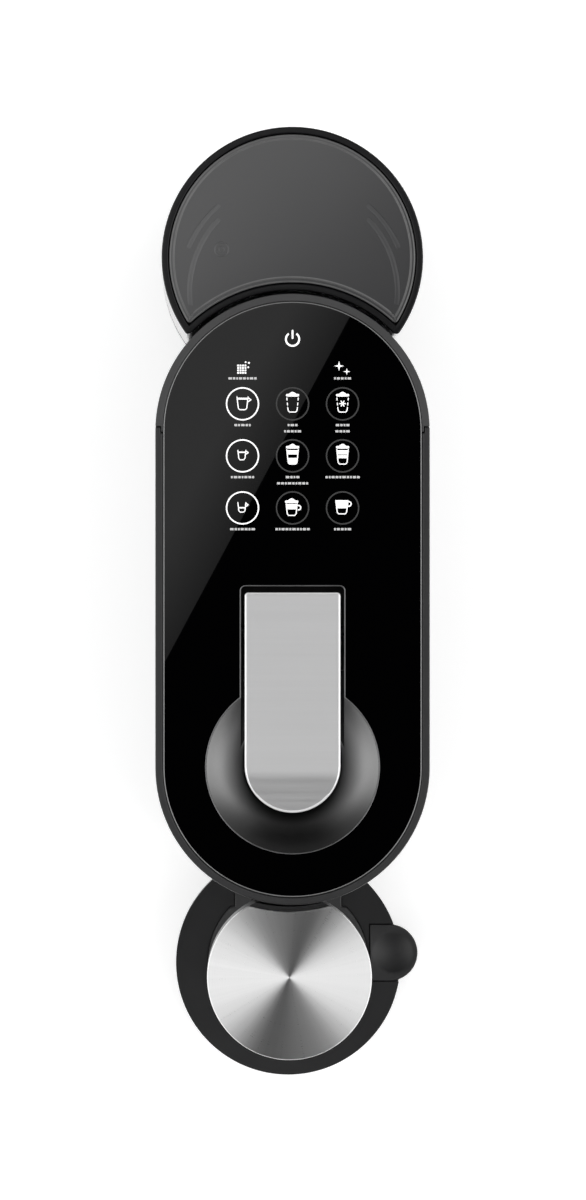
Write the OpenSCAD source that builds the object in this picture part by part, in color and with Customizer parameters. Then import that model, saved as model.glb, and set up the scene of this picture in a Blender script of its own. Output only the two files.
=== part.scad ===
// Pod coffee machine with a touch glass, a capsule lever, a lift-off tank
// and a height-adjustable froth head over the cup platform.
// Millimetres. +Z up, -Y the cup side, +X the right-hand side from the cup side.
// The table is z = 0 and the origin is under the middle of the footprint.

/* [Body] */
// Half width of the body and radius of both round ends
head_r = 62; // [55:0.5:70]
// Y of the rear end's arc centre
rear_y = 81.2; // [70:0.1:95]
// Y of the front end's arc centre
front_y = -71; // [-85:0.5:-60]
// Height of the glass and its frame
top_z = 268; // [240:1:300]
// Underside of the overhanging head
soffit_z = 205; // [180:1:220]
// Y of the column's flat front
column_front = -107; // [-115:0.5:-100]
// Corner radius of the column's front
column_corner = 12; // [6:0.5:16]
// Outer wall thickness
wall = 2.2; // [1.6:0.1:3]
// Gap at the seam between the front and rear covers
seam = 0.3; // [0.2:0.1:0.6]
// Thickness of the touch glass
glass_t = 3; // [2:0.5:4]
// Width of the frame round the glass
frame_w = 3.4; // [2:0.1:6]

/* [Base] */
// Foot height
foot_h = 3; // [2:0.5:6]
// Base plate thickness
plate_t = 5; // [3:0.5:6]
// Y of the cup platform's centre
cup_y = -166.1; // [-175:0.1:-155]
// Outer radius of the front base
base_r = 52.9; // [48:0.1:56]
// Top of the front base
base_top = 28; // [24:0.5:34]
// Cup platform radius
platform_r = 37.8; // [34:0.1:42]
// Cup platform height over the front base
platform_up = 2; // [1:0.5:4]
// Half width of the drip drawer
drawer_w = 33; // [26:0.5:36]
// Radius of the drawer's thumb tab
tab_r = 13.3; // [10:0.1:16]

/* [Lever] */
// Half width of the lever
lever_w = 21.7; // [18:0.1:24]
// Y of the lever's rear edge
lever_back = 8.2; // [4:0.1:12]
// Lever thickness
lever_t = 10; // [8:0.5:12]
// Lever top over the glass
lever_up = 1.5; // [0.5:0.1:2]
// Pivot Y
pivot_y = -9; // [-12:0.5:-8.5]
// Pivot height
pivot_z = 260; // [258:0.5:260.5]
// Pivot pin radius
pivot_r = 2.5; // [2:0.1:3]
// Distance from the pivot to each crank pin
crank_r = 21.8; // [16:0.1:22]
// Opening angle
lever_swing = 80; // [60:1:80]
// Dish radius
dish_r = 39; // [36:0.1:42]
// Dish depth
dish_d = 14; // [10:0.5:15]
// Corner radius of the slot's rear corners
slot_corner = 2; // [1:0.1:3]
// Corner radius of the lever's rear corners
lever_corner = 1.4; // [1:0.1:2]
// Half width of the lever slot
slot_w = 23.35; // [22.5:0.05:24]

/* [Brew unit] */
// Height of the capsule axis
brew_z = 206; // [200:0.5:208]
// Y of the capsule holder's mouth
mouth_y = -31; // [-34:0.5:-28]
// Capsule radius allowed for
capsule_r = 15.6; // [14:0.1:18]
// Capsule length allowed for
capsule_l = 28; // [24:0.5:30]

/* [Froth head] */
// Froth head radius
froth_r = 37.3; // [34:0.1:40]
// X of the froth head's centre
head_x = -1.3; // [-2:0.1:2]
// Radius of the notch in the cap, round the front end's arc centre
notch_r = 65.2; // [64.5:0.1:67]
// Corner radius of the cap at the notch
notch_corner = 2.4; // [1.5:0.1:3]
// Top of the steel cap
froth_top = 257; // [250:0.5:262]
// Underside of the froth head
froth_low = 190; // [186:0.5:200]
// Height travel
froth_travel = 80; // [40:1:80]
// Half width of the arm
arm_w = 14; // [10:0.5:15]
// Guide rod radius
rod_r = 3; // [2.5:0.5:4]
// Guide rod spacing from the middle
rod_x = 20.25; // [18:0.25:24]

/* [Tank] */
// Y of the tank's outer arc centre
tank_y = 159.8; // [150:0.1:170]
// Tank outer radius
tank_r = 59.2; // [54:0.1:62]
// Tank wall
tank_wall = 2.4; // [1.8:0.1:3]
// Top of the tank collar
tank_top = 258; // [230:1:262]
// Bottom of the tank
tank_low = 30.5; // [30.3:0.1:34]

/* [Capsule bin] */
// Half width of the bin
bin_w = 38; // [30:0.5:40]
// Bottom of the bin
bin_low = 34; // [33.5:0.5:36]
// Top of the bin
bin_top = 98; // [80:1:98]

/* [Hidden] */
$fn = 96;
e = 0.01;
plate_z = foot_h + plate_t;
rim_z = top_z - glass_t;
cover_top = top_z - 6;
fillet_c = head_r - column_corner;
fillet_y = column_front + column_corner;
fillet_x = sqrt(fillet_c * fillet_c - pow(fillet_y - front_y, 2));
fillet_k = (fillet_y - front_y) / fillet_c;
well_y = -70.6;
tip_y = -69.7;
crease_y = -73;
slot_back = 11;
dish_s = (dish_r * dish_r + dish_d * dish_d) / (2 * dish_d);
crank_a = lever_swing / 2;
crank_y = pivot_y + crank_r * sin(crank_a);
crank_z = pivot_z - crank_r * cos(crank_a);
travel = 2 * crank_r * sin(crank_a);
deck_z = base_top + platform_up;
tab_y = -161.5;
tab_x = 47.7;
rod_y = -96;
pipe_x = 9;
step_y = cup_y + 26.3;
drain_r = 26;
neck_w = 33;
cap_d = front_y - cup_y;
cap_a = (cap_d * cap_d + pow(froth_r - notch_corner, 2) - pow(notch_r + notch_corner, 2)) / (2 * cap_d);
cap_h = sqrt(pow(froth_r - notch_corner, 2) - cap_a * cap_a);
cap_cut_y = cap_a * froth_r / (froth_r - notch_corner);
cap_cut_x = cap_h * notch_r / (notch_r + notch_corner);
seam_out_y = 82.9;
seam_in_y = 80.3;
seam_r = 59.7;
tab_in = 17.3;
tab_out = 25;
valve_y = 176;
tip_cut_y = 125.4;
screw_places = [[-52, -40], [52, -40], [-52, 70], [52, 70], [-30, cup_y + 10],
                [-20, 200], [20, 200]];

// ---------- outlines ----------

// Round-ended body outline, inset by t
module stadium2d(t = 0) {
  translate([0, rear_y]) circle(head_r - t);
  translate([0, front_y]) circle(head_r - t);
  translate([-(head_r - t), front_y]) square([2 * (head_r - t), rear_y - front_y]);
}

// Column outline with its flat front, inset by t
module column2d(t = 0) {
  translate([0, rear_y]) circle(head_r - t);
  translate([-(head_r - t), front_y]) square([2 * (head_r - t), rear_y - front_y]);
  intersection() {
    translate([0, front_y]) circle(head_r - t);
    translate([-head_r, front_y + fillet_k * (head_r - t)]) square([2 * head_r, 60]);
  }
  for (s = [-1, 1]) translate([s * fillet_x, fillet_y]) circle(column_corner - t);
  translate([-fillet_x, column_front + t]) square([2 * fillet_x, column_corner]);
}

// Crescent outline of the tank, inset by t
module tank2d(t = 0) {
  difference() {
    intersection() {
      translate([0, tank_y]) circle(tank_r - t);
      translate([-100, tip_cut_y + t]) square([200, 150]);
    }
    translate([0, rear_y]) circle(head_r + 1.8 + t);
  }
}

// Lever outline, inset by t
module lever2d(t = 0) {
  translate([0, tip_y]) circle(lever_w - t);
  translate([-(lever_w - t), tip_y]) square([2 * (lever_w - t), lever_back - lever_corner - tip_y]);
  translate([-(lever_w - lever_corner), tip_y])
    square([2 * (lever_w - lever_corner), lever_back - tip_y - t]);
  for (s = [-1, 1]) translate([s * (lever_w - lever_corner), lever_back - lever_corner])
    circle(lever_corner - t);
}

// Keyhole outline of the well opening, grown by g
module keyhole2d(g = 0) {
  translate([0, well_y]) circle(dish_r + g);
  translate([-(slot_w + g), well_y]) square([2 * (slot_w + g), slot_back - slot_corner - well_y]);
  translate([-(slot_w - slot_corner), well_y])
    square([2 * (slot_w - slot_corner), slot_back + g - well_y]);
  for (s = [-1, 1]) translate([s * (slot_w - slot_corner), slot_back - slot_corner])
    circle(slot_corner + g);
}

// Outline of the froth head's cap with its notch, round the cap's centre, inset by t
module cap2d(t = 0) {
  difference() {
    circle(froth_r - t);
    translate([0, cap_d]) circle(notch_r + t);
    for (s = [-1, 1]) translate([s * (cap_cut_x + 10) - 10, cap_cut_y - t]) square([20, 20]);
  }
  for (s = [-1, 1]) translate([s * cap_h, cap_a]) circle(notch_corner - t);
}

// ---------- base ----------

// Bottom chassis plate under the column, cup side and tank
module base_plate() {
  color([0.05, 0.05, 0.055]) translate([0, 0, foot_h]) difference() {
    linear_extrude(plate_t) {
      column2d(0.8);
      translate([0, cup_y]) circle(base_r - 0.8);
      translate([-neck_w + 1, cup_y]) square([2 * neck_w - 2, 70]);
      translate([0, tank_y]) circle(tank_r - 0.8);
    }
    // vents under the heater and pump
    for (x = [-24 : 12 : 24]) translate([x - 2, 30, -1]) cube([4, 60, plate_t + 2]);
    for (p = screw_places) translate([p[0], p[1], -1]) cylinder(h = plate_t + 2, r = 1.7);
  }
}

// Five rubber feet
module rubber_feet() {
  color([0.03, 0.03, 0.03]) {
    for (s = [-1, 1]) {
      translate([s * 46, -60, 0]) cylinder(h = foot_h, r = 8);
      translate([s * 34, 178, 0]) cylinder(h = foot_h, r = 8);
    }
    translate([0, cup_y - 34, 0]) cylinder(h = foot_h, r = 8);
  }
}

// Round base under the cup, open to the right for the drawer
module front_base() {
  color([0.045, 0.045, 0.05]) difference() {
    translate([0, 0, plate_z]) linear_extrude(base_top - plate_z) {
      translate([0, cup_y]) circle(base_r);
      translate([-neck_w, cup_y + 20]) square([2 * neck_w, column_front - cup_y - 20.3]);
    }
    // drawer tunnel
    translate([-39, cup_y - drawer_w - 0.6, plate_z - 1])
      cube([110, 2 * drawer_w + 1.2, 17.6]);
    // platform recess and drain opening
    translate([0, 0, base_top - 1.6]) linear_extrude(5) platform2d(0.3);
    translate([0, cup_y, 20]) cylinder(h = 10, r = drain_r);
    // notch for the tab
    translate([38.1, tab_y - tab_r - 0.4, 20.5]) cube([40, 2 * tab_r + 0.8, 20]);
  }
}

// Plan of the cup platform: a round plate cut off at the rear, with two tongues, grown by g
module platform2d(g = 0) {
  difference() {
    translate([0, cup_y]) circle(platform_r + g);
    translate([-50, step_y + g]) square([100, 40]);
  }
  for (s = [-1, 1]) translate([s * (tab_in + tab_out) / 2 - (tab_out - tab_in) / 2 - g, step_y - 5])
    square([tab_out - tab_in + 2 * g, 24 + g]);
}

// Slotted platform the cup stands on
module cup_platform() {
  color([0.22, 0.22, 0.225]) difference() {
    union() {
      translate([0, 0, base_top - 1.5]) linear_extrude(deck_z - base_top + 1.1) platform2d(0);
      translate([0, 0, deck_z - 0.4]) linear_extrude(0.4) platform2d(-0.4);
      translate([0, cup_y, 25]) difference() {
        cylinder(h = 2, r = drain_r - 0.4);
        translate([0, 0, -1]) cylinder(h = 4, r = drain_r - 2.4);
      }
    }
    for (x = [-20 : 8 : 20]) translate([x - 1.4, cup_y - sqrt(22 * 22 - x * x), 20])
      cube([2.8, 2 * sqrt(22 * 22 - x * x), 20]);
  }
}

// Drip drawer that slides out to the right, with its thumb tab
module drip_tray() {
  color([0.05, 0.05, 0.055]) difference() {
    union() {
      intersection() {
        translate([0, cup_y, plate_z + 0.5]) cylinder(h = 15.5, r = base_r - 0.1);
        translate([-38, cup_y - drawer_w, plate_z]) cube([110, 2 * drawer_w, 20]);
      }
      translate([0, 0, 21]) linear_extrude(base_top - 21) difference() {
        union() {
          translate([tab_x, tab_y]) circle(tab_r);
          translate([38.6, tab_y - tab_r]) square([tab_x - 38.6, 2 * tab_r]);
        }
        translate([0, tab_y - 20]) square([38.6, 40]);
      }
    }
    intersection() {
      translate([0, cup_y, plate_z + 2.5]) cylinder(h = 13.6, r = base_r - 2.5);
      translate([-36, cup_y - drawer_w + 2, plate_z]) cube([69, 2 * drawer_w - 4, 30]);
    }
    // hollow of the thumb dish
    translate([49.2, tab_y, base_top + 18.75]) sphere(21.25);
  }
}

// ---------- covers ----------

// Front and side cover with the overhanging head
module front_cover() {
  color([0.055, 0.055, 0.06]) difference() {
    union() {
      translate([0, 0, plate_z]) linear_extrude(soffit_z - plate_z) difference() {
        column2d(0);
        column2d(wall);
      }
      translate([0, 0, soffit_z]) linear_extrude(cover_top - soffit_z) difference() {
        stadium2d(0);
        stadium2d(wall);
      }
      translate([0, 0, soffit_z]) linear_extrude(2.5) difference() {
        stadium2d(1);
        column2d(wall);
      }
    }
    // rear side of the seam
    translate([-100, rear_y - seam / 2, 0]) cube([200, 200, 400]);
    // slot for the froth head's arm
    translate([-arm_w - 0.8, column_front - 5, 107])
      cube([2 * arm_w + 1.6, 12, soffit_z - 107 - e]);
    // mouth of the capsule bin
    translate([-bin_w - 0.5, column_front - 5, bin_low - 0.8])
      cube([2 * bin_w + 1, 12, bin_top - bin_low + 1.4]);
  }
}

// Rear cover
module rear_cover() {
  color([0.055, 0.055, 0.06]) translate([0, 0, plate_z]) difference() {
    linear_extrude(cover_top - plate_z) difference() {
      translate([0, rear_y]) circle(head_r);
      translate([0, rear_y]) circle(head_r - wall);
      translate([-100, rear_y + seam / 2 - 200]) square([200, 200]);
    }
    // water and cable passage into the tank base
    translate([-22, 120, -1]) cube([44, 40, 17]);
  }
}

// Frame round the glass, its full length
module whole_frame() {
  translate([0, 0, cover_top]) linear_extrude(2.8) difference() {
    stadium2d(0);
    stadium2d(6.5);
  }
  translate([0, 0, cover_top + 2.8]) linear_extrude(top_z - cover_top - 2.8) difference() {
    stadium2d(0);
    stadium2d(frame_w);
  }
}

// Space behind the stepped seam of the frame, drawn back by g
module behind_seam(g = 0) {
  for (s = [-1, 1]) translate([s * (seam_r + 19) - 20, seam_out_y + g, cover_top - 1])
    cube([40, 100, 10]);
  translate([g - seam_r, seam_in_y + g, cover_top - 1]) cube([2 * (seam_r - g), 100, 10]);
}

// Front part of the frame that holds the glass
module top_frame() {
  color([0.15, 0.15, 0.155]) difference() {
    whole_frame();
    behind_seam(0);
  }
}

// Rear part of the frame, round the tank end
module rear_frame() {
  color([0.19, 0.19, 0.195]) intersection() {
    whole_frame();
    behind_seam(0.4);
  }
}

// Touch glass with its keyhole cut-out
module glass_panel() {
  color([0.01, 0.01, 0.012]) translate([0, 0, rim_z]) linear_extrude(glass_t) difference() {
    stadium2d(3.85);
    keyhole2d(0.65);
  }
}

// Bright trim between the glass and the well
module well_trim() {
  color([0.55, 0.55, 0.56]) translate([0, 0, rim_z - 0.2]) linear_extrude(glass_t + 0.3)
    difference() {
      keyhole2d(0.5);
      keyhole2d(0);
    }
}

// Dish and lever trough with the capsule chute
module lever_well() {
  color([0.06, 0.06, 0.065]) difference() {
    union() {
      translate([0, well_y, 252]) cylinder(h = top_z - 252.1, r = dish_r - 0.1);
      translate([0, well_y, rim_z - 3]) cylinder(h = 2.7, r = dish_r + 4);
      translate([-slot_w - 1.85, well_y, 240.5])
        cube([2 * slot_w + 3.7, slot_back + 1.85 - well_y, rim_z - 0.3 - 240.5]);
      // chute down to the capsule holder
      translate([-22, -62.5, 229]) cube([44, 33.5, 20]);
    }
    // dish
    translate([0, well_y, top_z + dish_s - dish_d]) sphere(dish_s, $fn = 180);
    // slot for the lever
    translate([0, 0, 259]) linear_extrude(20) intersection() {
      keyhole2d(0);
      translate([-slot_w, -62]) square([2 * slot_w, 100]);
    }
    translate([0, 0, 242.5]) linear_extrude(30) difference() {
      keyhole2d(0);
      translate([-50, -130]) square([100, 103]);
    }
    // capsule opening
    translate([-20, -60.5, 220]) cube([40, 29.5, 60]);
    // open rear of the dish body below the trough
    translate([-60, -100, 200]) cube([120, 37.4, 50]);
    // pivot bores
    translate([-40, pivot_y, pivot_z]) rotate([0, 90, 0]) cylinder(h = 80, r = pivot_r + 0.06);
  }
}

// Touch board under the glass
module touch_board() {
  color([0.03, 0.16, 0.07]) difference() {
    union() {
      translate([-48, 26, rim_z - 3.2]) cube([96, 62, 1.6]);
      translate([-30, 87, rim_z - 3.2]) cube([60, 35, 1.6]);
      for (x = [-22.6, 0, 22.6]) for (y = [46.4, 69.9, 93.4])
        translate([x, y, rim_z - 1.6]) cylinder(h = 1.2, r = 6);
      for (s = [-1, 1]) translate([s * 22.6, 109.8, rim_z - 1.6]) cylinder(h = 1.2, r = 4);
      translate([-12, 30, rim_z - 7]) cube([24, 8, 3.8]);
    }
    for (s = [-1, 1]) translate([s * 44, 31, rim_z - 5]) cylinder(h = 5, r = 1.6);
  }
}

// Power and control board at the back of the column
module control_board() {
  color([0.02, 0.14, 0.06]) {
    translate([-42, 118, 115]) cube([84, 1.6, 120]);
    translate([-34, 104, 190]) cube([30, 14, 26]);
    for (x = [6, 20, 34]) translate([x, 118, 204]) rotate([90, 0, 0]) cylinder(h = 16, r = 6);
    translate([-34, 108, 130]) cube([20, 10, 18]);
    translate([4, 110, 128]) cube([30, 8, 14]);
    for (x = [-30 : 12 : 30]) translate([x, 114, 222]) cube([8, 4, 8]);
  }
}

// ---------- inside frame ----------

// Moulded frame with the bin bay, the shelves and the board posts
module inner_frame() {
  color([0.10, 0.10, 0.105]) difference() {
    union() {
      // shelf over the bin bay
      translate([-51, -95, 99]) cube([102, 171, 5]);
      translate([-30, -104.4, 99]) cube([60, 12, 5]);
      // bay walls, bay floor and bay back
      for (s = [-1, 1]) translate([s * 41.5 - 1.5, -99.5, plate_z]) cube([3, 84.5, 91.5]);
      translate([-41, -103.5, 30]) cube([82, 88.5, 3.2]);
      translate([-43, -18, plate_z]) cube([86, 3, 91.5]);
      // posts that carry the shelf's rear and the brew frame
      for (s = [-1, 1]) {
        translate([s * 48 - 4, 48, plate_z]) cube([8, 8, 91.5]);
        translate([s * 48 - 3, -92, 103]) cube([6, 6, 47]);
        translate([s * 48 - 3, 46, 103]) cube([6, 6, 47]);
        translate([s * 37 - 2, 119.8, plate_z]) cube([4, 5, 222]);
        translate([s * 37 - 2, 74, 99]) cube([4, 48, 5]);
      }
    }
    // capsule drop opening
    translate([-21, -76, 90]) cube([42, 50, 20]);
    // passage for the water hoses
    translate([-16, 12, 90]) cube([32, 20, 20]);
    for (s = [-1, 1]) translate([s * rod_x, rod_y, 100]) cylinder(h = 10, r = rod_r + 0.02);
  }
}

// Vibration pump
module pump() {
  color([0.16, 0.16, 0.17]) translate([0, 0, 52]) {
    translate([0, 8, 0]) rotate([-90, 0, 0]) cylinder(h = 84, r = 11);
    translate([-19, 26, -17]) cube([38, 34, 34]);
    translate([0, 92, 0]) rotate([-90, 0, 0]) cylinder(h = 10, r = 6, $fn = 6);
    translate([0, 102, 0]) rotate([-90, 0, 0]) cylinder(h = 6, r = 3.2);
    translate([0, 2, 0]) rotate([-90, 0, 0]) cylinder(h = 6, r = 3.2);
  }
}

// Rubber cradles of the pump
module pump_mounts() {
  color([0.02, 0.02, 0.02]) for (y = [14, 76]) difference() {
    translate([-18, y, plate_z]) cube([36, 6, 60]);
    translate([0, y - 1, 52]) rotate([-90, 0, 0]) cylinder(h = 8, r = 11);
  }
}

// Flow meter
module flow_meter() {
  color([0.75, 0.75, 0.72]) {
    translate([38, 96, 30]) cylinder(h = 14, r = 11);
    translate([38, 96, 44]) cylinder(h = 4, r = 8);
    translate([38, 106, 37]) rotate([-90, 0, 0]) cylinder(h = 8, r = 3.2);
    translate([38, 86, 37]) rotate([90, 0, 0]) cylinder(h = 8, r = 3.2);
    translate([38, 96, plate_z]) cylinder(h = 22, r = 4);
  }
}

// Cast heater block with its ribs, element ends and thermostat
module heater_block() {
  color([0.62, 0.62, 0.63]) {
    translate([-26, 40, 122]) cube([52, 50, 50]);
    for (z = [126 : 10 : 166]) translate([-29, 37, z]) cube([58, 56, 4]);
    for (s = [-1, 1]) translate([s * 18, 90, 176 - 30]) rotate([-90, 0, 0]) cylinder(h = 12, r = 3.5);
    translate([0, 65, 172]) cylinder(h = 5, r = 8);
    translate([0, 40, 150]) rotate([90, 0, 0]) cylinder(h = 8, r = 3.2);
    for (s = [-1, 1]) translate([s * 22 - 4, 61, 104]) cube([8, 8, 18]);
  }
}

// Hoses from the tank seat through meter and pump to the heater and the brew unit
module water_hoses() {
  color([0.82, 0.82, 0.80]) difference() {
    hose_runs();
    // barbs of the meter and the pump
    translate([38, 105, 37]) rotate([-90, 0, 0]) cylinder(h = 9, r = 3.22);
    translate([38, 87, 37]) rotate([90, 0, 0]) cylinder(h = 9, r = 3.22);
    translate([0, 101, 52]) rotate([-90, 0, 0]) cylinder(h = 7, r = 3.22);
    translate([0, 2, 52]) rotate([-90, 0, 0]) cylinder(h = 7, r = 3.22);
  }
}

// Runs and elbows of the hoses
module hose_runs() {
  union() {
    // seat to meter
    translate([38, 114.2, 37]) sphere(4.4);
    translate([38, 114.2, 18]) cylinder(h = 19, r = 3.4);
    translate([38, 114.2, 18]) sphere(3.4);
    translate([12, 114.2, 18]) rotate([0, 90, 0]) cylinder(h = 26, r = 3.4);
    translate([12, 114.2, 18]) sphere(3.4);
    translate([12, 114.2, 18]) rotate([-90, 0, 0]) cylinder(h = 47.6, r = 3.4);
    // meter to pump
    translate([38, 77.8, 37]) sphere(4.4);
    translate([38, 77.8, 37]) rotate([90, 0, 0]) cylinder(h = 80, r = 3.4);
    translate([38, -2.2, 37]) sphere(3.4);
    translate([38, -2.2, 37]) cylinder(h = 15, r = 3.4);
    translate([38, -2.2, 52]) sphere(3.4);
    translate([0, -2.2, 52]) rotate([0, 90, 0]) cylinder(h = 38, r = 3.4);
    translate([0, -2.2, 52]) sphere(4.4);
    // pump to heater
    translate([0, 108.2, 52]) sphere(4.4);
    translate([0, 108.2, 52]) cylinder(h = 34, r = 3.4);
    translate([0, 108.2, 86]) sphere(3.4);
    translate([0, 22, 86]) rotate([-90, 0, 0]) cylinder(h = 86.2, r = 3.4);
    translate([0, 22, 86]) sphere(3.4);
    translate([0, 22, 86]) cylinder(h = 64, r = 3.4);
    translate([0, 22, 150]) sphere(3.4);
    translate([0, 22, 150]) rotate([-90, 0, 0]) cylinder(h = 9.8, r = 3.4);
    // heater to injection head
    translate([0, 65, 177]) cylinder(h = brew_z - 177, r = 3.4);
    translate([0, 65, brew_z]) sphere(3.4);
    translate([0, 27.2, brew_z]) rotate([-90, 0, 0]) cylinder(h = 37.8, r = 3.4);
  }
}

// ---------- brew unit ----------

// Side plates, rails and rear wall round the capsule holder
module brew_frame() {
  color([0.13, 0.13, 0.14]) difference() {
    union() {
      for (s = [-1, 1]) {
        translate([s * 38.5 - 2, -80, 150]) cube([4, 108, 84]);
        // feet on the posts of the inner frame
        translate([s * 45.5 - 5.75, -92, 150]) cube([11.5, 16, 4]);
        translate([s * 45.5 - 5.75, 20, 150]) cube([11.5, 32, 4]);
        // rails under and over the carriage arms
        translate([s * 34.5 - 2.5, -80, 192]) cube([5, 92, 4]);
        translate([s * 34.5 - 2.5, -80, 216.3]) cube([5, 47, 4]);
      }
      translate([-40.5, 24, 150]) cube([81, 4, 84]);
      // saddle of the capsule holder
      translate([-38, -16, 176]) cube([76, 14, 14]);
    }
    translate([0, 20, brew_z]) rotate([-90, 0, 0]) cylinder(h = 12, r = 6);
    translate([-14, 20, 140]) cube([28, 12, 40]);
    translate([0, -17, brew_z]) rotate([-90, 0, 0]) cylinder(h = 16, r = 22.55);
  }
}

// Fixed capsule holder on the water side
module capsule_cage() {
  color([0.18, 0.18, 0.19]) translate([0, mouth_y, brew_z]) rotate([-90, 0, 0])
    rotate_extrude() polygon([
      [capsule_r + 3.4, 0], [22.5, 0], [22.5, capsule_l + 2], [8, capsule_l + 2],
      [8, capsule_l - 1], [capsule_r - 2, capsule_l - 1], [capsule_r, 1.6],
      [capsule_r + 3.4, 1.6]]);
}

// Injection head with its three needles and hose tail
module injection_head() {
  color([0.60, 0.60, 0.61]) translate([0, mouth_y + capsule_l + 2, brew_z]) rotate([-90, 0, 0]) {
    cylinder(h = 14, r = 20);
    translate([0, 0, 14]) cylinder(h = 14.2, r = 3.2);
    translate([0, 0, -3]) cylinder(h = 3, r = 7.9);
    for (a = [0, 120, 240]) rotate(a) translate([4.5, 0, -8]) cylinder(h = 5, r1 = 0.3, r2 = 1.2);
  }
}

// Lever with its bent tip and pivot hub
module lever() {
  color([0.72, 0.72, 0.73]) difference() {
    union() {
      translate([0, 0, top_z + lever_up - lever_t]) linear_extrude(lever_t) lever2d(0);
      translate([-lever_w, pivot_y, pivot_z]) rotate([0, 90, 0])
        cylinder(h = 2 * lever_w, r = pivot_r + 2.5);
    }
    // tip bends down
    translate([0, crease_y, top_z + lever_up]) rotate([13, 0, 0])
      translate([-40, -40, 0]) cube([80, 40, 20]);
    // hollow underside
    translate([-lever_w + 3, crease_y, top_z + lever_up - lever_t - 1])
      cube([2 * lever_w - 6, 54, lever_t - 2]);
    translate([-40, pivot_y, pivot_z]) rotate([0, 90, 0]) cylinder(h = 80, r = pivot_r);
  }
}

// Steel pivot pin
module lever_axle() {
  color([0.66, 0.66, 0.67]) translate([-31, pivot_y, pivot_z]) rotate([0, 90, 0])
    cylinder(h = 62, r = pivot_r);
}

// The two cranks and their pins
module lever_cranks() {
  color([0.45, 0.45, 0.46]) for (s = [-1, 1]) difference() {
    union() {
      translate([s * 28 - 2, pivot_y, pivot_z]) rotate([0, 90, 0]) cylinder(h = 4, r = 4.6);
      translate([s * 28 - 2, crank_y, crank_z]) rotate([0, 90, 0]) cylinder(h = 4, r = 4.4);
      translate([s * 28 - 2, pivot_y, pivot_z]) rotate([crank_a, 0, 0])
        translate([0, -3.4, -crank_r]) cube([4, 6.8, crank_r]);
      translate([s * 32 - 3, crank_y, crank_z]) rotate([0, 90, 0]) cylinder(h = 6, r = 2.5);
    }
    translate([-40, pivot_y, pivot_z]) rotate([0, 90, 0]) cylinder(h = 80, r = pivot_r);
  }
}

// Sliding carriage: crossbar, side arms and slotted uprights
module brew_carriage() {
  color([0.20, 0.20, 0.21]) difference() {
    union() {
      translate([-35.5, mouth_y - 13.5, brew_z - 9.8]) cube([71, 8, 19.6]);
      for (s = [-1, 1]) {
        translate([s * 33.25 - 2.25, mouth_y - 13.5, brew_z - 9.8]) cube([4.5, 60, 19.6]);
        translate([s * 33.25 - 2.25, crank_y - 8, brew_z]) cube([4.5, 16, 46]);
      }
    }
    for (s = [-1, 1]) translate([s * 33.25 - 3, crank_y - 3.05, crank_z - 8.2])
      cube([6, 6.1, 14.4]);
    translate([0, mouth_y - 20, brew_z]) rotate([-90, 0, 0]) cylinder(h = 20, r = 3.3);
  }
}

// Perforated plate that clamps the capsule
module extraction_plate() {
  color([0.66, 0.66, 0.67]) translate([0, mouth_y - 5.4, brew_z]) rotate([-90, 0, 0]) {
    difference() {
      cylinder(h = 4.4, r = 18.6);
      for (a = [0 : 45 : 315]) rotate(a) translate([10, 0, 2]) cylinder(h = 4, r = 1.5);
      for (a = [0 : 90 : 270]) rotate(a) translate([4.6, 0, 2]) cylinder(h = 4, r = 1.2);
    }
    translate([0, 0, -12]) cylinder(h = 12, r = 3.2);
  }
}

// ---------- froth head ----------

// Coiled hose from the upper bracket to the carriage
module coffee_hose() {
  color([0.78, 0.78, 0.76]) for (z = [208.2 : 5.6 : 237]) translate([0, rod_y, z])
    rotate_extrude() translate([4.8, 0]) circle(2.6, $fn = 32);
}

// Bracket that holds the upper rod ends
module rod_bracket() {
  color([0.12, 0.12, 0.125]) difference() {
    union() {
      translate([-40.5, -100, 240]) cube([81, 10, 5]);
      for (s = [-1, 1]) translate([s * 38.5 - 2, -100, 234.2]) cube([4, 30, 10.8]);
    }
    for (s = [-1, 1]) translate([s * rod_x, rod_y, 235]) cylinder(h = 12, r = rod_r + 0.02);
    translate([0, rod_y, 235]) cylinder(h = 12, r = 3);
  }
}

// Two steel guide rods
module guide_rods() {
  color([0.75, 0.75, 0.76]) for (s = [-1, 1]) translate([s * rod_x, rod_y, 100])
    cylinder(h = 145, r = rod_r);
}

// Carriage block that runs on the rods
module froth_carriage() {
  color([0.09, 0.09, 0.095]) difference() {
    translate([-29, -102, froth_low - 1]) cube([58, 14, 16]);
    for (s = [-1, 1]) translate([s * rod_x, rod_y, 180]) cylinder(h = 40, r = rod_r + 0.05);
    translate([0, rod_y, froth_low + 6]) cylinder(h = 20, r = 3);
  }
}

// Froth head housing with its arm
module froth_housing() {
  color([0.05, 0.05, 0.055]) difference() {
    union() {
      translate([head_x, cup_y, froth_low])
        cylinder(h = froth_top - 8 - froth_low, r = froth_r - 0.2);
      translate([-arm_w, cup_y + 24, froth_low]) cube([2 * arm_w, -102 - cup_y - 24, 13]);
    }
    // room for the head's round front
    translate([head_x, front_y, froth_low + 13]) cylinder(h = 100, r = notch_r - 2);
    difference() {
      translate([head_x, cup_y, froth_low + 3]) cylinder(h = 80, r = froth_r - 2.7);
      translate([head_x, front_y, froth_low - 1]) cylinder(h = 100, r = notch_r + 0.4);
    }
    // shaft bush, nozzle hole and pipe channel
    translate([head_x, cup_y, froth_low - 1]) cylinder(h = 6, r = 1.65);
    translate([head_x, cup_y + 19, froth_low - 1]) cylinder(h = 6, r = 4.1);
    translate([pipe_x, cup_y + 15, froth_low + 6.5]) rotate([-90, 0, 0])
      cylinder(h = 50, r = 2.7);
  }
}

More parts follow.
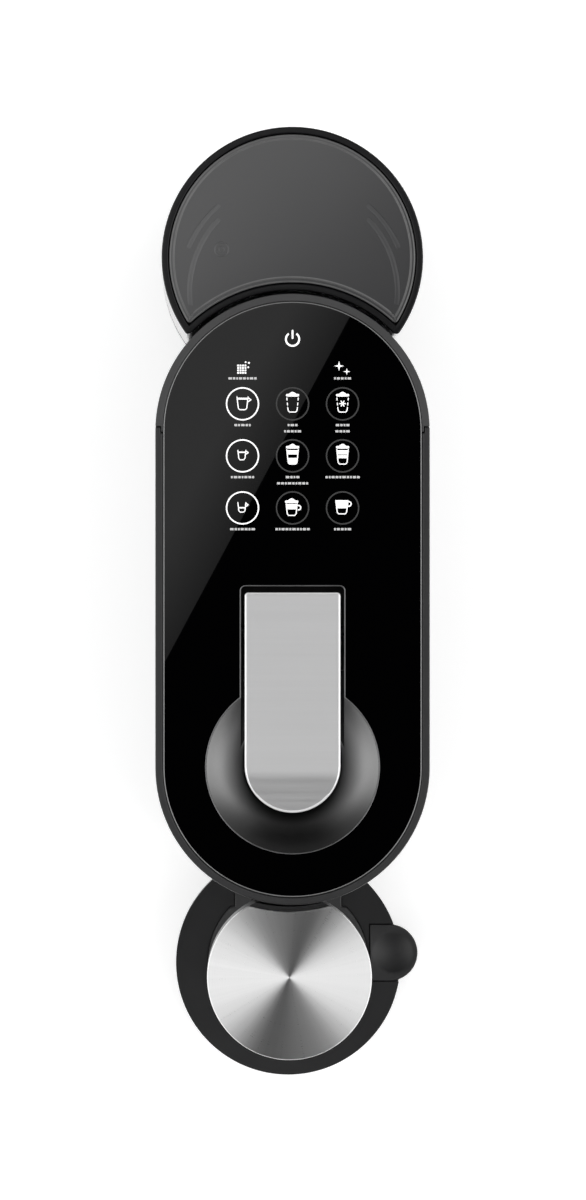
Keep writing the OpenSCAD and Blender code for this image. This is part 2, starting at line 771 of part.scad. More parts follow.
// Turned steel cap
module froth_cap() {
  color([0.74, 0.74, 0.75]) translate([head_x, cup_y, froth_top - 7.9]) linear_extrude(7.9)
    cap2d(0);
}

// Froth motor and its bracket
module froth_motor() {
  color([0.55, 0.55, 0.56]) translate([head_x, cup_y, 0]) {
    translate([0, 0, 207]) cylinder(h = 30, r = 12);
    translate([-14, -14, 204]) cube([28, 28, 3]);
    for (a = [0, 90]) rotate(a) for (s = [-1, 1]) translate([s * 12, s * 12, froth_low + 3])
      cylinder(h = 11, r = 1.8);
    translate([0, 0, 237]) cylinder(h = 2, r = 4);
  }
}

// Coffee pipe through the arm, and the spout
module coffee_pipe() {
  color([0.70, 0.70, 0.71]) {
    translate([pipe_x, cup_y + 19, froth_low + 6.5]) rotate([-90, 0, 0])
      cylinder(h = -102 - cup_y - 19, r = 2.4);
    translate([pipe_x, cup_y + 19, froth_low + 6.5]) sphere(2.4);
    translate([head_x, cup_y + 19, froth_low + 6.5]) rotate([0, 90, 0])
      cylinder(h = pipe_x - head_x, r = 2.4);
    translate([head_x, cup_y + 19, 176]) difference() {
      cylinder(h = froth_low + 9 - 176, r = 4);
      translate([0, 0, -1]) cylinder(h = 12, r = 2.2);
    }
  }
}

// Whisk shaft
module whisk_shaft() {
  color([0.76, 0.76, 0.77]) translate([head_x, cup_y, 0]) {
    translate([0, 0, 140]) cylinder(h = 63.6, r = 1.6);
    translate([0, 0, 196]) cylinder(h = 5, r = 4);
    translate([0, 0, 138]) cylinder(h = 4, r = 2.4);
  }
}

// Whisk ring and its three spokes
module whisk() {
  color([0.78, 0.78, 0.79]) translate([head_x, cup_y, 0]) {
    translate([0, 0, 134.2]) rotate_extrude() translate([8.6, 0]) circle(1.2, $fn = 32);
    for (a = [0, 120, 240]) rotate(a) translate([0, 0, 137]) rotate([0, 108, 0])
      cylinder(h = 8.8, r = 0.9);
    translate([0, 0, 136.2]) cylinder(h = 1.8, r = 2.2);
  }
}

// ---------- capsule bin ----------

// Bin for the used capsules, drawn out to the front
module capsule_bin() {
  color([0.05, 0.05, 0.055]) difference() {
    union() {
      translate([-bin_w, column_front, bin_low]) cube([2 * bin_w, 87, 62]);
      translate([-bin_w, column_front, bin_low]) cube([2 * bin_w, 3, bin_top - bin_low]);
    }
    translate([-bin_w + 2, column_front + 3, bin_low + 2]) cube([2 * bin_w - 4, 82, 80]);
    // finger recess
    translate([-16, column_front - 1, bin_top - 14]) cube([32, 10, 9]);
  }
}

// ---------- tank ----------

// Hollow foot that carries the tank
module tank_base() {
  color([0.045, 0.045, 0.05]) difference() {
    translate([0, 0, plate_z]) linear_extrude(tank_low - 0.4 - plate_z) difference() {
      translate([0, tank_y]) circle(tank_r);
      translate([0, rear_y]) circle(head_r + 0.3);
    }
    translate([0, 0, plate_z - 1]) linear_extrude(20) difference() {
      translate([0, tank_y]) circle(tank_r - 2.5);
      translate([0, rear_y]) circle(head_r + 2.8);
    }
    // passage to the column
    translate([-22, 130, plate_z - 1]) cube([44, 20, 17]);
    // hole for the tank seat
    translate([0, valve_y, 20]) cylinder(h = 20, r = 12.2);
    // hole for the cord gland
    translate([0, 205, 17]) rotate([-90, 0, 0]) cylinder(h = 20, r = 7);
  }
}

// Seat the tank plugs onto, with its post and hose tail
module tank_seat() {
  color([0.12, 0.12, 0.125]) {
    difference() {
      translate([0, valve_y, 14]) cylinder(h = tank_low - 14.4, r = 12);
      translate([0, valve_y, 22]) cylinder(h = 20, r = 9);
    }
    translate([0, valve_y, 20]) cylinder(h = 8.5, r = 1.8);
    translate([12, 161.8, 18]) rotate([-90, 0, 0]) cylinder(h = 9, r = 3.2);
    translate([0, valve_y, plate_z]) cylinder(h = 7, r = 5);
  }
}

// Water tank
module water_tank() {
  color([0.20, 0.20, 0.21, 0.55]) difference() {
    union() {
      translate([0, 0, tank_low]) linear_extrude(tank_top - 8.2 - tank_low) tank2d(0);
      // valve neck that drops into the seat
      translate([0, valve_y, tank_low - 5]) cylinder(h = 6, r = 8.6);
    }
    translate([0, 0, tank_low + 3]) linear_extrude(300) tank2d(tank_wall);
    translate([0, valve_y, tank_low - 8]) cylinder(h = 20, r = 4.5);
  }
}

// Collar bonded on the tank's rim, with the lid's ledge
module tank_collar() {
  color([0.03, 0.03, 0.033]) {
    translate([0, 0, tank_top - 8.2]) linear_extrude(3.2) difference() {
      tank2d(0);
      tank2d(5);
    }
    translate([0, 0, tank_top - 5]) linear_extrude(5) difference() {
      tank2d(0);
      tank2d(3.1);
    }
  }
}

// Smoked lid with its grip hollow
module tank_lid() {
  color([0.28, 0.29, 0.29, 0.8]) difference() {
    union() {
      translate([0, 0, tank_top - 4.9]) linear_extrude(5.4) tank2d(3.5);
      translate([0, 0, tank_top - 11]) linear_extrude(6.2) difference() {
        tank2d(5.4);
        tank2d(7);
      }
    }
    // hollow under the lid's plate
    translate([0, 0, tank_top - 12]) linear_extrude(9.6) tank2d(7);
    // embossed round mark
    translate([-32, 163.5, tank_top + 0.3]) difference() {
      cylinder(h = 1, r = 4.6);
      translate([0, 0, -1]) cylinder(h = 3, r = 4);
    }
  }
}

// Valve disc and stem
module tank_valve() {
  color([0.85, 0.30, 0.10]) translate([0, valve_y, 0]) {
    translate([0, 0, 28.9]) cylinder(h = 5.6, r = 2.4);
    translate([0, 0, tank_low + 4]) cylinder(h = 2, r = 6.6);
    translate([0, 0, tank_low + 6]) cylinder(h = 9, r = 1.6);
  }
}

// Valve return spring
module valve_spring() {
  color([0.7, 0.7, 0.7]) for (z = [37.2 : 2 : 43.4]) translate([0, valve_y, z])
    rotate_extrude() translate([3.4, 0]) circle(0.5, $fn = 24);
}

// Cage over the valve
module valve_cage() {
  color([0.15, 0.15, 0.16]) translate([0, valve_y, 0]) {
    difference() {
      translate([0, 0, tank_low + 13.6]) cylinder(h = 2.4, r = 10);
      translate([0, 0, tank_low + 10]) cylinder(h = 10, r = 1.9);
    }
    for (a = [0, 90, 180, 270]) rotate(a) translate([8.6, -1.5, tank_low + 3]) cube([1.4, 3, 11]);
  }
}

// ---------- small pieces ----------

// Gland for the mains cord
module cord_gland() {
  color([0.02, 0.02, 0.02]) translate([0, 0, 17]) rotate([-90, 0, 0]) difference() {
    union() {
      translate([0, 0, 209]) cylinder(h = 9.5, r = 6.8);
      translate([0, 0, 209]) cylinder(h = 4, r = 8.4, $fn = 6);
    }
    translate([0, 0, 200]) cylinder(h = 30, r = 3.4);
  }
}

// Screws that hold the base plate
module case_screws() {
  color([0.5, 0.5, 0.51]) {
    for (p = screw_places) translate([p[0], p[1], foot_h - 0.8]) {
      cylinder(h = 0.8, r = 3.2);
      cylinder(h = plate_t + 0.8, r = 1.6);
    }
  }
}

base_plate();
rubber_feet();
front_base();
cup_platform();
drip_tray();
front_cover();
rear_cover();
top_frame();
rear_frame();
glass_panel();
well_trim();
lever_well();
touch_board();
control_board();
inner_frame();
pump();
pump_mounts();
flow_meter();
heater_block();
water_hoses();
brew_frame();
capsule_cage();
injection_head();
lever();
lever_axle();
lever_cranks();
brew_carriage();
extraction_plate();
coffee_hose();
rod_bracket();
guide_rods();
froth_carriage();
froth_housing();
froth_cap();
froth_motor();
coffee_pipe();
whisk_shaft();
whisk();
capsule_bin();
tank_base();
tank_seat();
water_tank();
tank_collar();
tank_lid();
tank_valve();
valve_spring();
valve_cage();
cord_gland();
case_screws();
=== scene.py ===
import math
import bmesh
import bpy
from mathutils import Matrix, Vector


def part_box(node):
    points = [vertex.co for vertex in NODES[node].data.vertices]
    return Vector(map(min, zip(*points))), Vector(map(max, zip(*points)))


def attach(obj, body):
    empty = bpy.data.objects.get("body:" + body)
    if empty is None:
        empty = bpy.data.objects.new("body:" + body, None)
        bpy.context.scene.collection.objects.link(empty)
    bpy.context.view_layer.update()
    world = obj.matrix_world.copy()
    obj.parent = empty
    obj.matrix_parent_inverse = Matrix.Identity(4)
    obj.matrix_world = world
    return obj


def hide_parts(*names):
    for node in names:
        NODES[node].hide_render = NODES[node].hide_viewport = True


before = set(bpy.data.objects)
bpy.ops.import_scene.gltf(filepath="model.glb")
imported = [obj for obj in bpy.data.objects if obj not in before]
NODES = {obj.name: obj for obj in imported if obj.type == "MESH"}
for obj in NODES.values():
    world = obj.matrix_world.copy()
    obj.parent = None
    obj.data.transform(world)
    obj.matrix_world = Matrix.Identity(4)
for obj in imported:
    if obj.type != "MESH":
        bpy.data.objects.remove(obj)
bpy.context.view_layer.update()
MM = 0.001

# ---------------------------------------------------------------- places taken from the frame

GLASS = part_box("glass_panel")
GLASS_TOP = GLASS[1][2]
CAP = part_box("froth_cap")
CAP_AXIS = Vector(((CAP[0][0] + CAP[1][0]) / 2, CAP[0][1] + (CAP[1][0] - CAP[0][0]) / 2, 0))
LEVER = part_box("lever")
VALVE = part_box("valve_spring")
COLLAR_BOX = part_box("tank_collar")
LID_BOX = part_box("tank_lid")
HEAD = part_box("rear_cover")
TANK_R = (COLLAR_BOX[1][0] - COLLAR_BOX[0][0]) / 2
TANK_Y = COLLAR_BOX[1][1] - TANK_R
HEAD_R = (HEAD[1][0] - HEAD[0][0]) / 2
HEAD_Y = HEAD[1][1] - HEAD_R
TANK_GAP = 1.8 * MM
FRONT_R = HEAD_R + TANK_GAP


# ---------------------------------------------------------------- camera

VIEW_HEIGHT = 5.46  # from the glass to the eye
VIEW_SPAN = 0.542  # long side of the view at the glass
VIEW_EYE = (-0.0466, 0.0048)
VIEW_AIM = (0.0002, 0.0048)
SENSOR = 36
FAR_CLIP = 50


def add_camera():
    """A long lens straight above the glass, standing a little to the left."""
    data = bpy.data.cameras.new("camera")
    data.sensor_width = SENSOR
    data.lens = SENSOR * VIEW_HEIGHT / VIEW_SPAN
    data.clip_end = FAR_CLIP
    cam = bpy.data.objects.new("camera", data)
    bpy.context.scene.collection.objects.link(cam)
    cam.location = (*VIEW_EYE, GLASS_TOP + VIEW_HEIGHT)
    back = (cam.location - Vector((*VIEW_AIM, GLASS_TOP))).normalized()
    right = Vector((0, 1, 0)).cross(back).normalized()
    up = back.cross(right)
    cam.rotation_euler = Matrix((right, up, back)).transposed().to_euler()
    bpy.context.scene.camera = cam


add_camera()
bpy.context.scene.view_settings.view_transform = "Standard"


# ---------------------------------------------------------------- shader helpers

MIX_FIRST, MIX_SECOND, MIX_RESULT = 6, 7, 2  # colour sockets of a Mix node
NOISE_LOW, NOISE_HIGH = 0.3, 0.7  # nearly all of a noise lies between these


def tinted(colour, gain):
    """A colour made lighter or darker, and no brighter than white."""
    return tuple(min(1, part * gain) for part in colour)


class Nodes:
    """Short calls to add nodes to a node tree."""

    def __init__(self, tree):
        self.tree = tree

    def node(self, kind, values=None, **settings):
        """Adds a node. Sockets among the values are linked to its inputs, and the rest are set."""
        made = self.tree.nodes.new("ShaderNode" + kind)
        for key, value in settings.items():
            setattr(made, key, value)
        for key, value in (values or {}).items():
            if isinstance(value, bpy.types.NodeSocket):
                self.tree.links.new(value, made.inputs[key])
            else:
                made.inputs[key].default_value = value
        return made

    def calc(self, kind, first, second=0.0):
        """Arithmetic on two numbers."""
        return self.node("Math", {0: first, 1: second}, operation=kind).outputs[0]

    def vector(self, kind, first, second=(0, 0, 0)):
        """Arithmetic on two vectors that gives a vector."""
        return self.node("VectorMath", {0: first, 1: second}, operation=kind).outputs[0]

    def length(self, vector):
        return self.node("VectorMath", {0: vector}, operation="LENGTH").outputs["Value"]

    def average(self, first, second):
        return self.calc("MULTIPLY", self.calc("ADD", first, second), 0.5)

    def ramp(self, value, start, end, low=0.0, high=1.0, curve="LINEAR"):
        """Goes from low to high as the value goes from start to end."""
        values = {"Value": value, "From Min": start, "From Max": end, "To Min": low, "To Max": high}
        return self.node("MapRange", values, interpolation_type=curve).outputs["Result"]

    def fade(self, value, start, end, low=0.0, high=1.0):
        """A ramp with soft ends."""
        return self.ramp(value, start, end, low, high, "SMOOTHSTEP")


class Shader(Nodes):
    """A material with a Principled BSDF."""

    def __init__(self, name, colour, rough, metal=0.0, **sockets):
        self.material = bpy.data.materials.new(name)
        self.material.use_nodes = True
        super().__init__(self.material.node_tree)
        self.bsdf = self.tree.nodes["Principled BSDF"]
        self.set({"Base Color": (*colour, 1), "Roughness": rough, "Metallic": metal})
        self.set({key.replace("_", " "): value for key, value in sockets.items()})
        self.colour = colour
        self.rough = rough
        self.place = self.node("TexCoord").outputs["Object"]

    def set(self, values):
        """Sets constants on the Principled BSDF."""
        for key, value in values.items():
            self.bsdf.inputs[key].default_value = value

    def link(self, socket, name):
        self.tree.links.new(socket, self.bsdf.inputs[name])

    def stretched(self, scale):
        return self.node("Mapping", {"Vector": self.place, "Scale": scale}).outputs[0]

    def noise(self, scale, detail=3.0, vector=None, rough=0.5):
        values = {"Vector": vector or self.place, "Scale": scale, "Detail": detail, "Roughness": rough}
        return self.node("TexNoise", values).outputs["Fac"]

    def spread(self, noise, low, high):
        """Spreads a noise over a range."""
        return self.ramp(noise, NOISE_LOW, NOISE_HIGH, low, high)

    def tone(self, factor, low, high):
        """Blends the base colour from low to high; high may be a socket."""
        second = high if isinstance(high, bpy.types.NodeSocket) else (*high, 1)
        mix = self.node("Mix", {0: factor, MIX_FIRST: (*low, 1), MIX_SECOND: second}, data_type="RGBA")
        self.link(mix.outputs[MIX_RESULT], "Base Color")

    def mottle(self, scale, amount):
        """Small changes of tone over the surface."""
        factor = self.spread(self.noise(scale, 4), 0.0, 1.0)
        self.tone(factor, tinted(self.colour, 1 - amount), tinted(self.colour, 1 + amount))

    def polish(self, noise, amount):
        """Small changes of roughness that follow a noise."""
        self.link(self.spread(noise, self.rough - amount, self.rough + amount), "Roughness")

    def bump(self, height, depth, strength=1.0):
        made = self.node("Bump", {"Height": height, "Distance": depth, "Strength": strength})
        self.link(made.outputs["Normal"], "Normal")


# ---------------------------------------------------------------- materials

def moulded(name, colour, rough, grain=0.45 * MM, depth=0.012 * MM, mottle=0.12, **sockets):
    """Injection-moulded plastic with a fine spark-eroded grain."""
    s = Shader(name, colour, rough, **sockets)
    s.mottle(scale=35, amount=mottle)
    s.polish(s.noise(70, detail=5), amount=0.05)
    s.bump(s.noise(1 / grain, detail=2), depth)
    return s.material


def polished(name, colour, rough, **sockets):
    """Smooth plastic with faint waviness and a few dull spots."""
    s = Shader(name, colour, rough, **sockets)
    s.mottle(scale=20, amount=0.08)
    s.polish(s.noise(90, detail=5), amount=0.03)
    s.bump(s.noise(60, detail=2), depth=0.02 * MM)
    return s.material


def black_glass():
    """Black-backed touch glass with the faintest smears."""
    s = Shader("touch_glass", (0.0004, 0.0004, 0.0005), rough=0.005, IOR=1.5)
    s.link(s.spread(s.noise(45, detail=6), 0.003, 0.008), "Roughness")
    return s.material


def ground_edge():
    """Ground chamfer round the glass, which catches the light."""
    s = Shader("glass_ground_edge", (0.22, 0.22, 0.22), rough=0.30, metal=0.5)
    s.mottle(scale=300, amount=0.08)
    s.bump(s.noise(3000, detail=2), depth=0.006 * MM)
    return s.material


BRUSH_ACROSS = 5200
BRUSH_ALONG = 45
BROAD_STREAKS = 9  # times as broad as the fine ones


def brushed(name, colour, rough, along, streak=1.0, metal=1.0):
    """Metal brushed along one axis: streaks in tone, polish and height."""
    s = Shader(name, colour, rough, metal)
    scale = [BRUSH_ACROSS] * 3
    scale["XYZ".index(along)] = BRUSH_ALONG
    broad_scale = [part / BROAD_STREAKS for part in scale]
    fine = s.noise(1.0, detail=4, vector=s.stretched(scale), rough=0.6)
    broad = s.noise(1.0, detail=2, vector=s.stretched(broad_scale))
    both = s.average(fine, broad)
    s.tone(s.spread(both, 0.0, 1.0), tinted(colour, 1 - 0.10 * streak), tinted(colour, 1 + 0.06 * streak))
    s.polish(both, amount=0.06)
    s.bump(fine, depth=0.004 * MM, strength=0.6 * streak)
    return s.material


RINGS_PER_METRE = 4200


def turned(name, colour, rough, centre):
    """Lathe-turned steel: fine rings, and a sheen that spreads across them."""
    s = Shader(name, colour, rough, metal=1.0, Anisotropic=0.93)
    away = s.vector("SUBTRACT", s.place, centre)
    flat = s.vector("MULTIPLY", away, (1, 1, 0))
    radial = s.vector("NORMALIZE", flat)
    s.link(radial, "Tangent")
    ring_values = {"W": s.length(flat), "Scale": RINGS_PER_METRE, "Detail": 3}
    rings = s.node("TexNoise", ring_values, noise_dimensions="1D").outputs[0]
    both = s.average(rings, s.noise(14, detail=3, vector=radial))
    s.tone(s.spread(both, 0.0, 1.0), tinted(colour, 0.95), tinted(colour, 1.03))
    s.polish(both, amount=0.02)
    return s.material


def metal(name, colour, rough, grain=0.25 * MM, depth=0.006 * MM):
    """Plain machined or cast metal."""
    s = Shader(name, colour, rough, metal=1.0)
    s.mottle(scale=60, amount=0.10)
    s.polish(s.noise(110, detail=5), amount=0.05)
    s.bump(s.noise(1 / grain, detail=3), depth)
    return s.material


def satin(name, colour, rough, metal=0.0):
    """Even satin finish with only the finest grain."""
    s = Shader(name, colour, rough, metal)
    s.mottle(scale=900, amount=0.03)
    s.polish(s.noise(1500, detail=2), amount=0.02)
    s.bump(s.noise(4000, detail=2), depth=0.003 * MM)
    return s.material


DISH_R = 39 * MM
DISH_DEPTH = 14 * MM
DISH_Y = -70.6 * MM
DISH_SPHERE = (DISH_R ** 2 + DISH_DEPTH ** 2) / (2 * DISH_DEPTH)
DISH_CENTRE = (0, DISH_Y, GLASS_TOP + DISH_SPHERE - DISH_DEPTH)
DISH_SKIN = 0.25 * MM
DISH_TONE = 0.325
DISH_GRAIN = 0.02
SLOT_COLOUR = (0.007, 0.007, 0.0072)
# painted shade on the dish: darker near the lever's slot, at the rim and towards front and back; the
# distance that counts, its start and end in millimetres, the share at each
DISH_SHADE_FADES = (("from_axis", 20, 33, 0.22, 1.0), ("from_axis", 30, 39, 1.0, 0.70),
              ("along", -26, 2, 0.52, 1.0), ("along", 2, 30, 1.0, 0.62))


def dish_metal():
    """Metallised satin on the round dish under painted shade, black moulding in the slot and below."""
    s = Shader("well_dark", (DISH_TONE,) * 3, rough=0.30, metal=1.0, Specular_IOR_Level=0.15)
    away = s.vector("SUBTRACT", s.place, DISH_CENTRE)
    off = s.calc("SUBTRACT", s.length(away), DISH_SPHERE)
    dish = s.calc("LESS_THAN", s.calc("ABSOLUTE", off), DISH_SKIN)
    distances = {"from_axis": s.length(s.vector("MULTIPLY", away, (1, 1, 0))),
                 "along": s.node("SeparateXYZ", {"Vector": away}).outputs[1]}
    bright = s.calc("ADD", s.calc("MULTIPLY", s.noise(900), DISH_GRAIN), DISH_TONE)
    # painted shade: each fade darkens the dish's tone
    for kind, start, end, low, high in DISH_SHADE_FADES:
        painted_shade = s.fade(distances[kind], start * MM, end * MM, low, high)
        bright = s.calc("MULTIPLY", bright, painted_shade)
    s.tone(dish, SLOT_COLOUR, bright)
    s.link(dish, "Metallic")
    s.polish(s.noise(1500, detail=2), amount=0.02)
    s.bump(s.noise(4000, detail=2), depth=0.003 * MM)
    return s.material


# painted light on the lid: its tone runs from the shaded colour at the lower right to the lit colour at the
# upper left
LID_DARK = (0.021, 0.021, 0.022)
LID_LIGHT = (0.055, 0.055, 0.056)
LID_FADE = (TANK_Y - 60 * MM, TANK_Y + 90 * MM)
LID_DRIFT = 30 * MM


def lid_plastic(name, gain=1.0):
    """Smoked lid with painted light: lighter towards the upper left and darker towards the lower right, as
    if more of the tank's light came up through it there.
    """
    s = Shader(name, LID_LIGHT, rough=0.30)
    x, y = s.node("SeparateXYZ", {"Vector": s.place}).outputs[:2]
    slant = s.calc("ADD", s.calc("MULTIPLY", x, -1.0), y)
    soft = s.calc("MULTIPLY", s.noise(14, detail=2), LID_DRIFT)
    factor = s.fade(s.calc("ADD", slant, soft), *LID_FADE)
    s.tone(factor, tinted(LID_DARK, gain), tinted(LID_LIGHT, gain))
    s.bump(s.noise(2200, detail=2), depth=0.004 * MM)
    return s.material


def lid_highlight(name, level):
    """Smoked plastic in a lighter tone: a painted highlight where the lid catches the light."""
    s = Shader(name, (level, level, level), rough=0.28)
    s.mottle(scale=120, amount=0.10)
    s.bump(s.noise(2200, detail=2), depth=0.004 * MM)
    return s.material


def rubber(name, colour, rough=0.75):
    s = Shader(name, colour, rough)
    s.mottle(scale=80, amount=0.2)
    s.bump(s.noise(2600, detail=3), depth=0.03 * MM)
    return s.material


def silicone(name, colour):
    """Milky hose."""
    s = Shader(name, colour, rough=0.32, Subsurface_Weight=0.35, Subsurface_Scale=3 * MM)
    s.mottle(scale=50, amount=0.06)
    s.bump(s.noise(900, detail=2), depth=0.02 * MM)
    return s.material


def smoked(name, tint, rough, through):
    """Smoked see-through plastic, slightly hazy."""
    s = Shader(name, tint, rough, Transmission_Weight=through, IOR=1.45)
    s.polish(s.noise(40, detail=4), amount=0.03)
    s.bump(s.noise(35, detail=2), depth=0.03 * MM)
    return s.material


def circuit_board(name):
    """Green solder mask over traces."""
    s = Shader(name, (0.02, 0.14, 0.06), rough=0.35)
    cells = s.node("TexVoronoi", {"Vector": s.place, "Scale": 260}, distance="MANHATTAN")
    trace = s.ramp(cells.outputs["Distance"], 0.35, 0.45)
    s.tone(trace, (0.018, 0.11, 0.045), (0.035, 0.20, 0.085))
    s.bump(trace, depth=0.03 * MM, strength=0.4)
    return s.material


def printed(name, level, glow):
    """Printed mark behind the glass, lit from below where glow is above zero."""
    colour = (level, level, level)
    s = Shader(name, colour, rough=0.3, Emission_Color=(*colour, 1), Emission_Strength=glow)
    s.mottle(scale=400, amount=0.03)
    return s.material


COVER = moulded("cover_black", (0.016, 0.016, 0.017), 0.42)
BASE = moulded("base_black", (0.009, 0.009, 0.0095), 0.42, mottle=0.08, Specular_IOR_Level=0.36)
TRAY = moulded("tray_black", (0.012, 0.012, 0.0125), 0.46, mottle=0.05)
PLATFORM = moulded("platform_grey", (0.024, 0.024, 0.0245), 0.38, mottle=0.05)
FRAME = moulded("frame_grey", (0.012, 0.012, 0.0125), 0.35, depth=0.008 * MM, mottle=0.06)
REAR_FRAME = moulded("rear_frame_grey", (0.030, 0.030, 0.0305), 0.38, depth=0.008 * MM, mottle=0.06)
CHASSIS = moulded("chassis_black", (0.014, 0.014, 0.015), 0.55, depth=0.03 * MM)
INNER = moulded("inner_black", (0.030, 0.030, 0.032), 0.50, depth=0.02 * MM)
HOUSING = moulded("head_black", (0.012, 0.012, 0.0125), 0.34)
BREW = moulded("brew_black", (0.045, 0.045, 0.048), 0.48, depth=0.02 * MM)
WELL = dish_metal()
COLLAR = polished("collar_black", (0.005, 0.005, 0.0055), 0.20, Specular_IOR_Level=0.27)
SEAT = moulded("seat_black", (0.04, 0.04, 0.042), 0.5)
METER = moulded("meter_white", (0.62, 0.62, 0.58), 0.4)
GLASS_MAT = black_glass()
GLASS_EDGE = ground_edge()
TRIM = metal("trim_metal", (0.26, 0.26, 0.263), 0.32)
LEVER_MAT = brushed("lever_metal", (0.61, 0.61, 0.613), 0.40, along="X", streak=0.35, metal=0.80)
# painted highlight: a lighter copy of the lever's metal for its rounded edges
LEVER_RIM_HIGHLIGHT = satin("lever_rim_highlight", (0.93, 0.93, 0.933), 0.25, metal=0.35)
STEEL = brushed("satin_steel", (0.58, 0.58, 0.59), 0.30, along="Z")
CAP_MAT = turned("cap_steel", (0.88, 0.88, 0.88), 0.29, CAP_AXIS)
ROD = metal("rod_steel", (0.72, 0.72, 0.74), 0.14)
CAST = metal("cast_aluminium", (0.50, 0.50, 0.51), 0.45, grain=0.6 * MM, depth=0.05 * MM)
DARK_PIN = metal("dark_pin", (0.03, 0.03, 0.031), 0.4)
ZINC = metal("zinc", (0.45, 0.45, 0.46), 0.38)
PUMP = moulded("pump_grey", (0.07, 0.07, 0.075), 0.45)
RUBBER = rubber("foot_rubber", (0.012, 0.012, 0.012))
SILICONE = silicone("hose_silicone", (0.72, 0.72, 0.70))
VALVE_MAT = rubber("valve_orange", (0.62, 0.14, 0.03), 0.5)
TANK = smoked("tank_smoke", (0.30, 0.30, 0.31), 0.07, through=0.92)
LID = lid_plastic("lid_smoke")
# painted highlight: a lighter tone of smoked plastic for the lid's two rim lines
LID_EDGE_HIGHLIGHT = lid_highlight("lid_edge_highlight", 0.095)
# painted highlight: a lighter copy of the lid plastic for the beads
LID_RIB_HIGHLIGHT = lid_plastic("lid_rib_highlight", gain=1.22)
BOARD = circuit_board("board_green")
WHITE_PRINT = printed("print_white", 0.85, glow=0.30)
GREY_PRINT = printed("print_grey", 0.46, glow=0.08)
DIM_PRINT = printed("print_dim", 0.030, glow=0.0)

NODE_MATERIALS = {
    COVER: ["front_cover", "rear_cover"],
    BASE: ["front_base", "tank_base"],
    TRAY: ["drip_tray", "capsule_bin"],
    PLATFORM: ["cup_platform"],
    FRAME: ["top_frame"],
    REAR_FRAME: ["rear_frame"],
    CHASSIS: ["base_plate"],
    INNER: ["inner_frame", "froth_carriage"],
    HOUSING: ["froth_housing"],
    BREW: ["brew_frame", "rod_bracket", "capsule_cage", "brew_carriage"],
    WELL: ["lever_well"],
    COLLAR: ["tank_collar"],
    SEAT: ["tank_seat", "valve_cage"],
    METER: ["flow_meter"],
    GLASS_MAT: ["glass_panel"],
    TRIM: ["well_trim"],
    LEVER_MAT: ["lever"],
    STEEL: ["injection_head", "extraction_plate", "coffee_pipe", "whisk_shaft", "whisk"],
    CAP_MAT: ["froth_cap"],
    ROD: ["guide_rods", "valve_spring"],
    DARK_PIN: ["lever_axle"],
    CAST: ["heater_block"],
    ZINC: ["lever_cranks", "froth_motor", "case_screws"],
    PUMP: ["pump"],
    RUBBER: ["rubber_feet", "pump_mounts", "cord_gland"],
    SILICONE: ["water_hoses", "coffee_hose"],
    VALVE_MAT: ["tank_valve"],
    TANK: ["water_tank"],
    LID: ["tank_lid"],
    BOARD: ["touch_board", "control_board"],
}


def dress(node, material):
    """Gives a CAD node its material on every slot."""
    obj = NODES[node]
    if not obj.material_slots:
        obj.data.materials.append(material)
    for slot in obj.material_slots:
        slot.material = material


for material, names in NODE_MATERIALS.items():
    for name in names:
        dress(name, material)


# ---------------------------------------------------------------- rounded edges

# widths in millimetres
BEVELS = {
    "top_frame": 0.5, "rear_frame": 0.5, "front_cover": 0.6, "rear_cover": 0.6, "well_trim": 0.12,
    "front_base": 0.8, "tank_base": 0.8, "drip_tray": 0.5, "cup_platform": 0.35, "froth_housing": 0.6,
    "froth_cap": 0.45, "capsule_bin": 0.6, "lever_well": 0.35, "water_tank": 0.6, "tank_collar": 0.6,
    "base_plate": 0.8, "rubber_feet": 0.7, "froth_carriage": 0.5, "brew_frame": 0.5,
    "inner_frame": 0.5, "pump": 0.6, "heater_block": 0.8, "control_board": 0.3, "case_screws": 0.2,
    "lever_cranks": 0.3, "brew_carriage": 0.4, "cord_gland": 0.4, "flow_meter": 0.4,
}
# flat faces here are merged first, so that the rounding can reach its full width
FLAT_TOPPED = ("froth_cap", "tank_collar", "top_frame", "rear_frame")
FLAT_ANGLE = math.radians(0.4)
SHARP_ANGLE = math.radians(35)
WELD_REACH = 0.01 * MM


def shade_anew(obj, smooth):
    """Drops the mesh's stored normals and sets how its faces are shaded."""
    attributes = obj.data.attributes
    if "custom_normal" in attributes:
        attributes.remove(attributes["custom_normal"])
    for face in obj.data.polygons:
        face.use_smooth = smooth


def weighted_normals(obj, weight, keep_sharp=False):
    normals = obj.modifiers.new("normals", "WEIGHTED_NORMAL")
    normals.keep_sharp = keep_sharp
    normals.weight = weight


def round_edges(name, width):
    """Welds a node's mesh, rounds its sharp edges and shades it smoothly."""
    obj = NODES[name]
    shade_anew(obj, smooth=True)
    weld = obj.modifiers.new("weld", "WELD")
    weld.merge_threshold = WELD_REACH
    if name in FLAT_TOPPED:
        flat = obj.modifiers.new("flat", "DECIMATE")
        flat.decimate_type = "DISSOLVE"
        flat.angle_limit = FLAT_ANGLE
    bevel = obj.modifiers.new("bevel", "BEVEL")
    bevel.width = width
    bevel.segments = 3
    bevel.limit_method = "ANGLE"
    bevel.angle_limit = SHARP_ANGLE
    bevel.use_clamp_overlap = True
    if name in FLAT_TOPPED:
        cut = obj.modifiers.new("cut", "TRIANGULATE")
        cut.ngon_method = "BEAUTY"
    weighted_normals(obj, 80, keep_sharp=True)


for name, width in BEVELS.items():
    round_edges(name, width * MM)
shade_anew(NODES["glass_panel"], smooth=False)


# ---------------------------------------------------------------- mesh helpers

def add_object(name, data):
    obj = bpy.data.objects.new(name, data)
    bpy.context.scene.collection.objects.link(obj)
    return obj


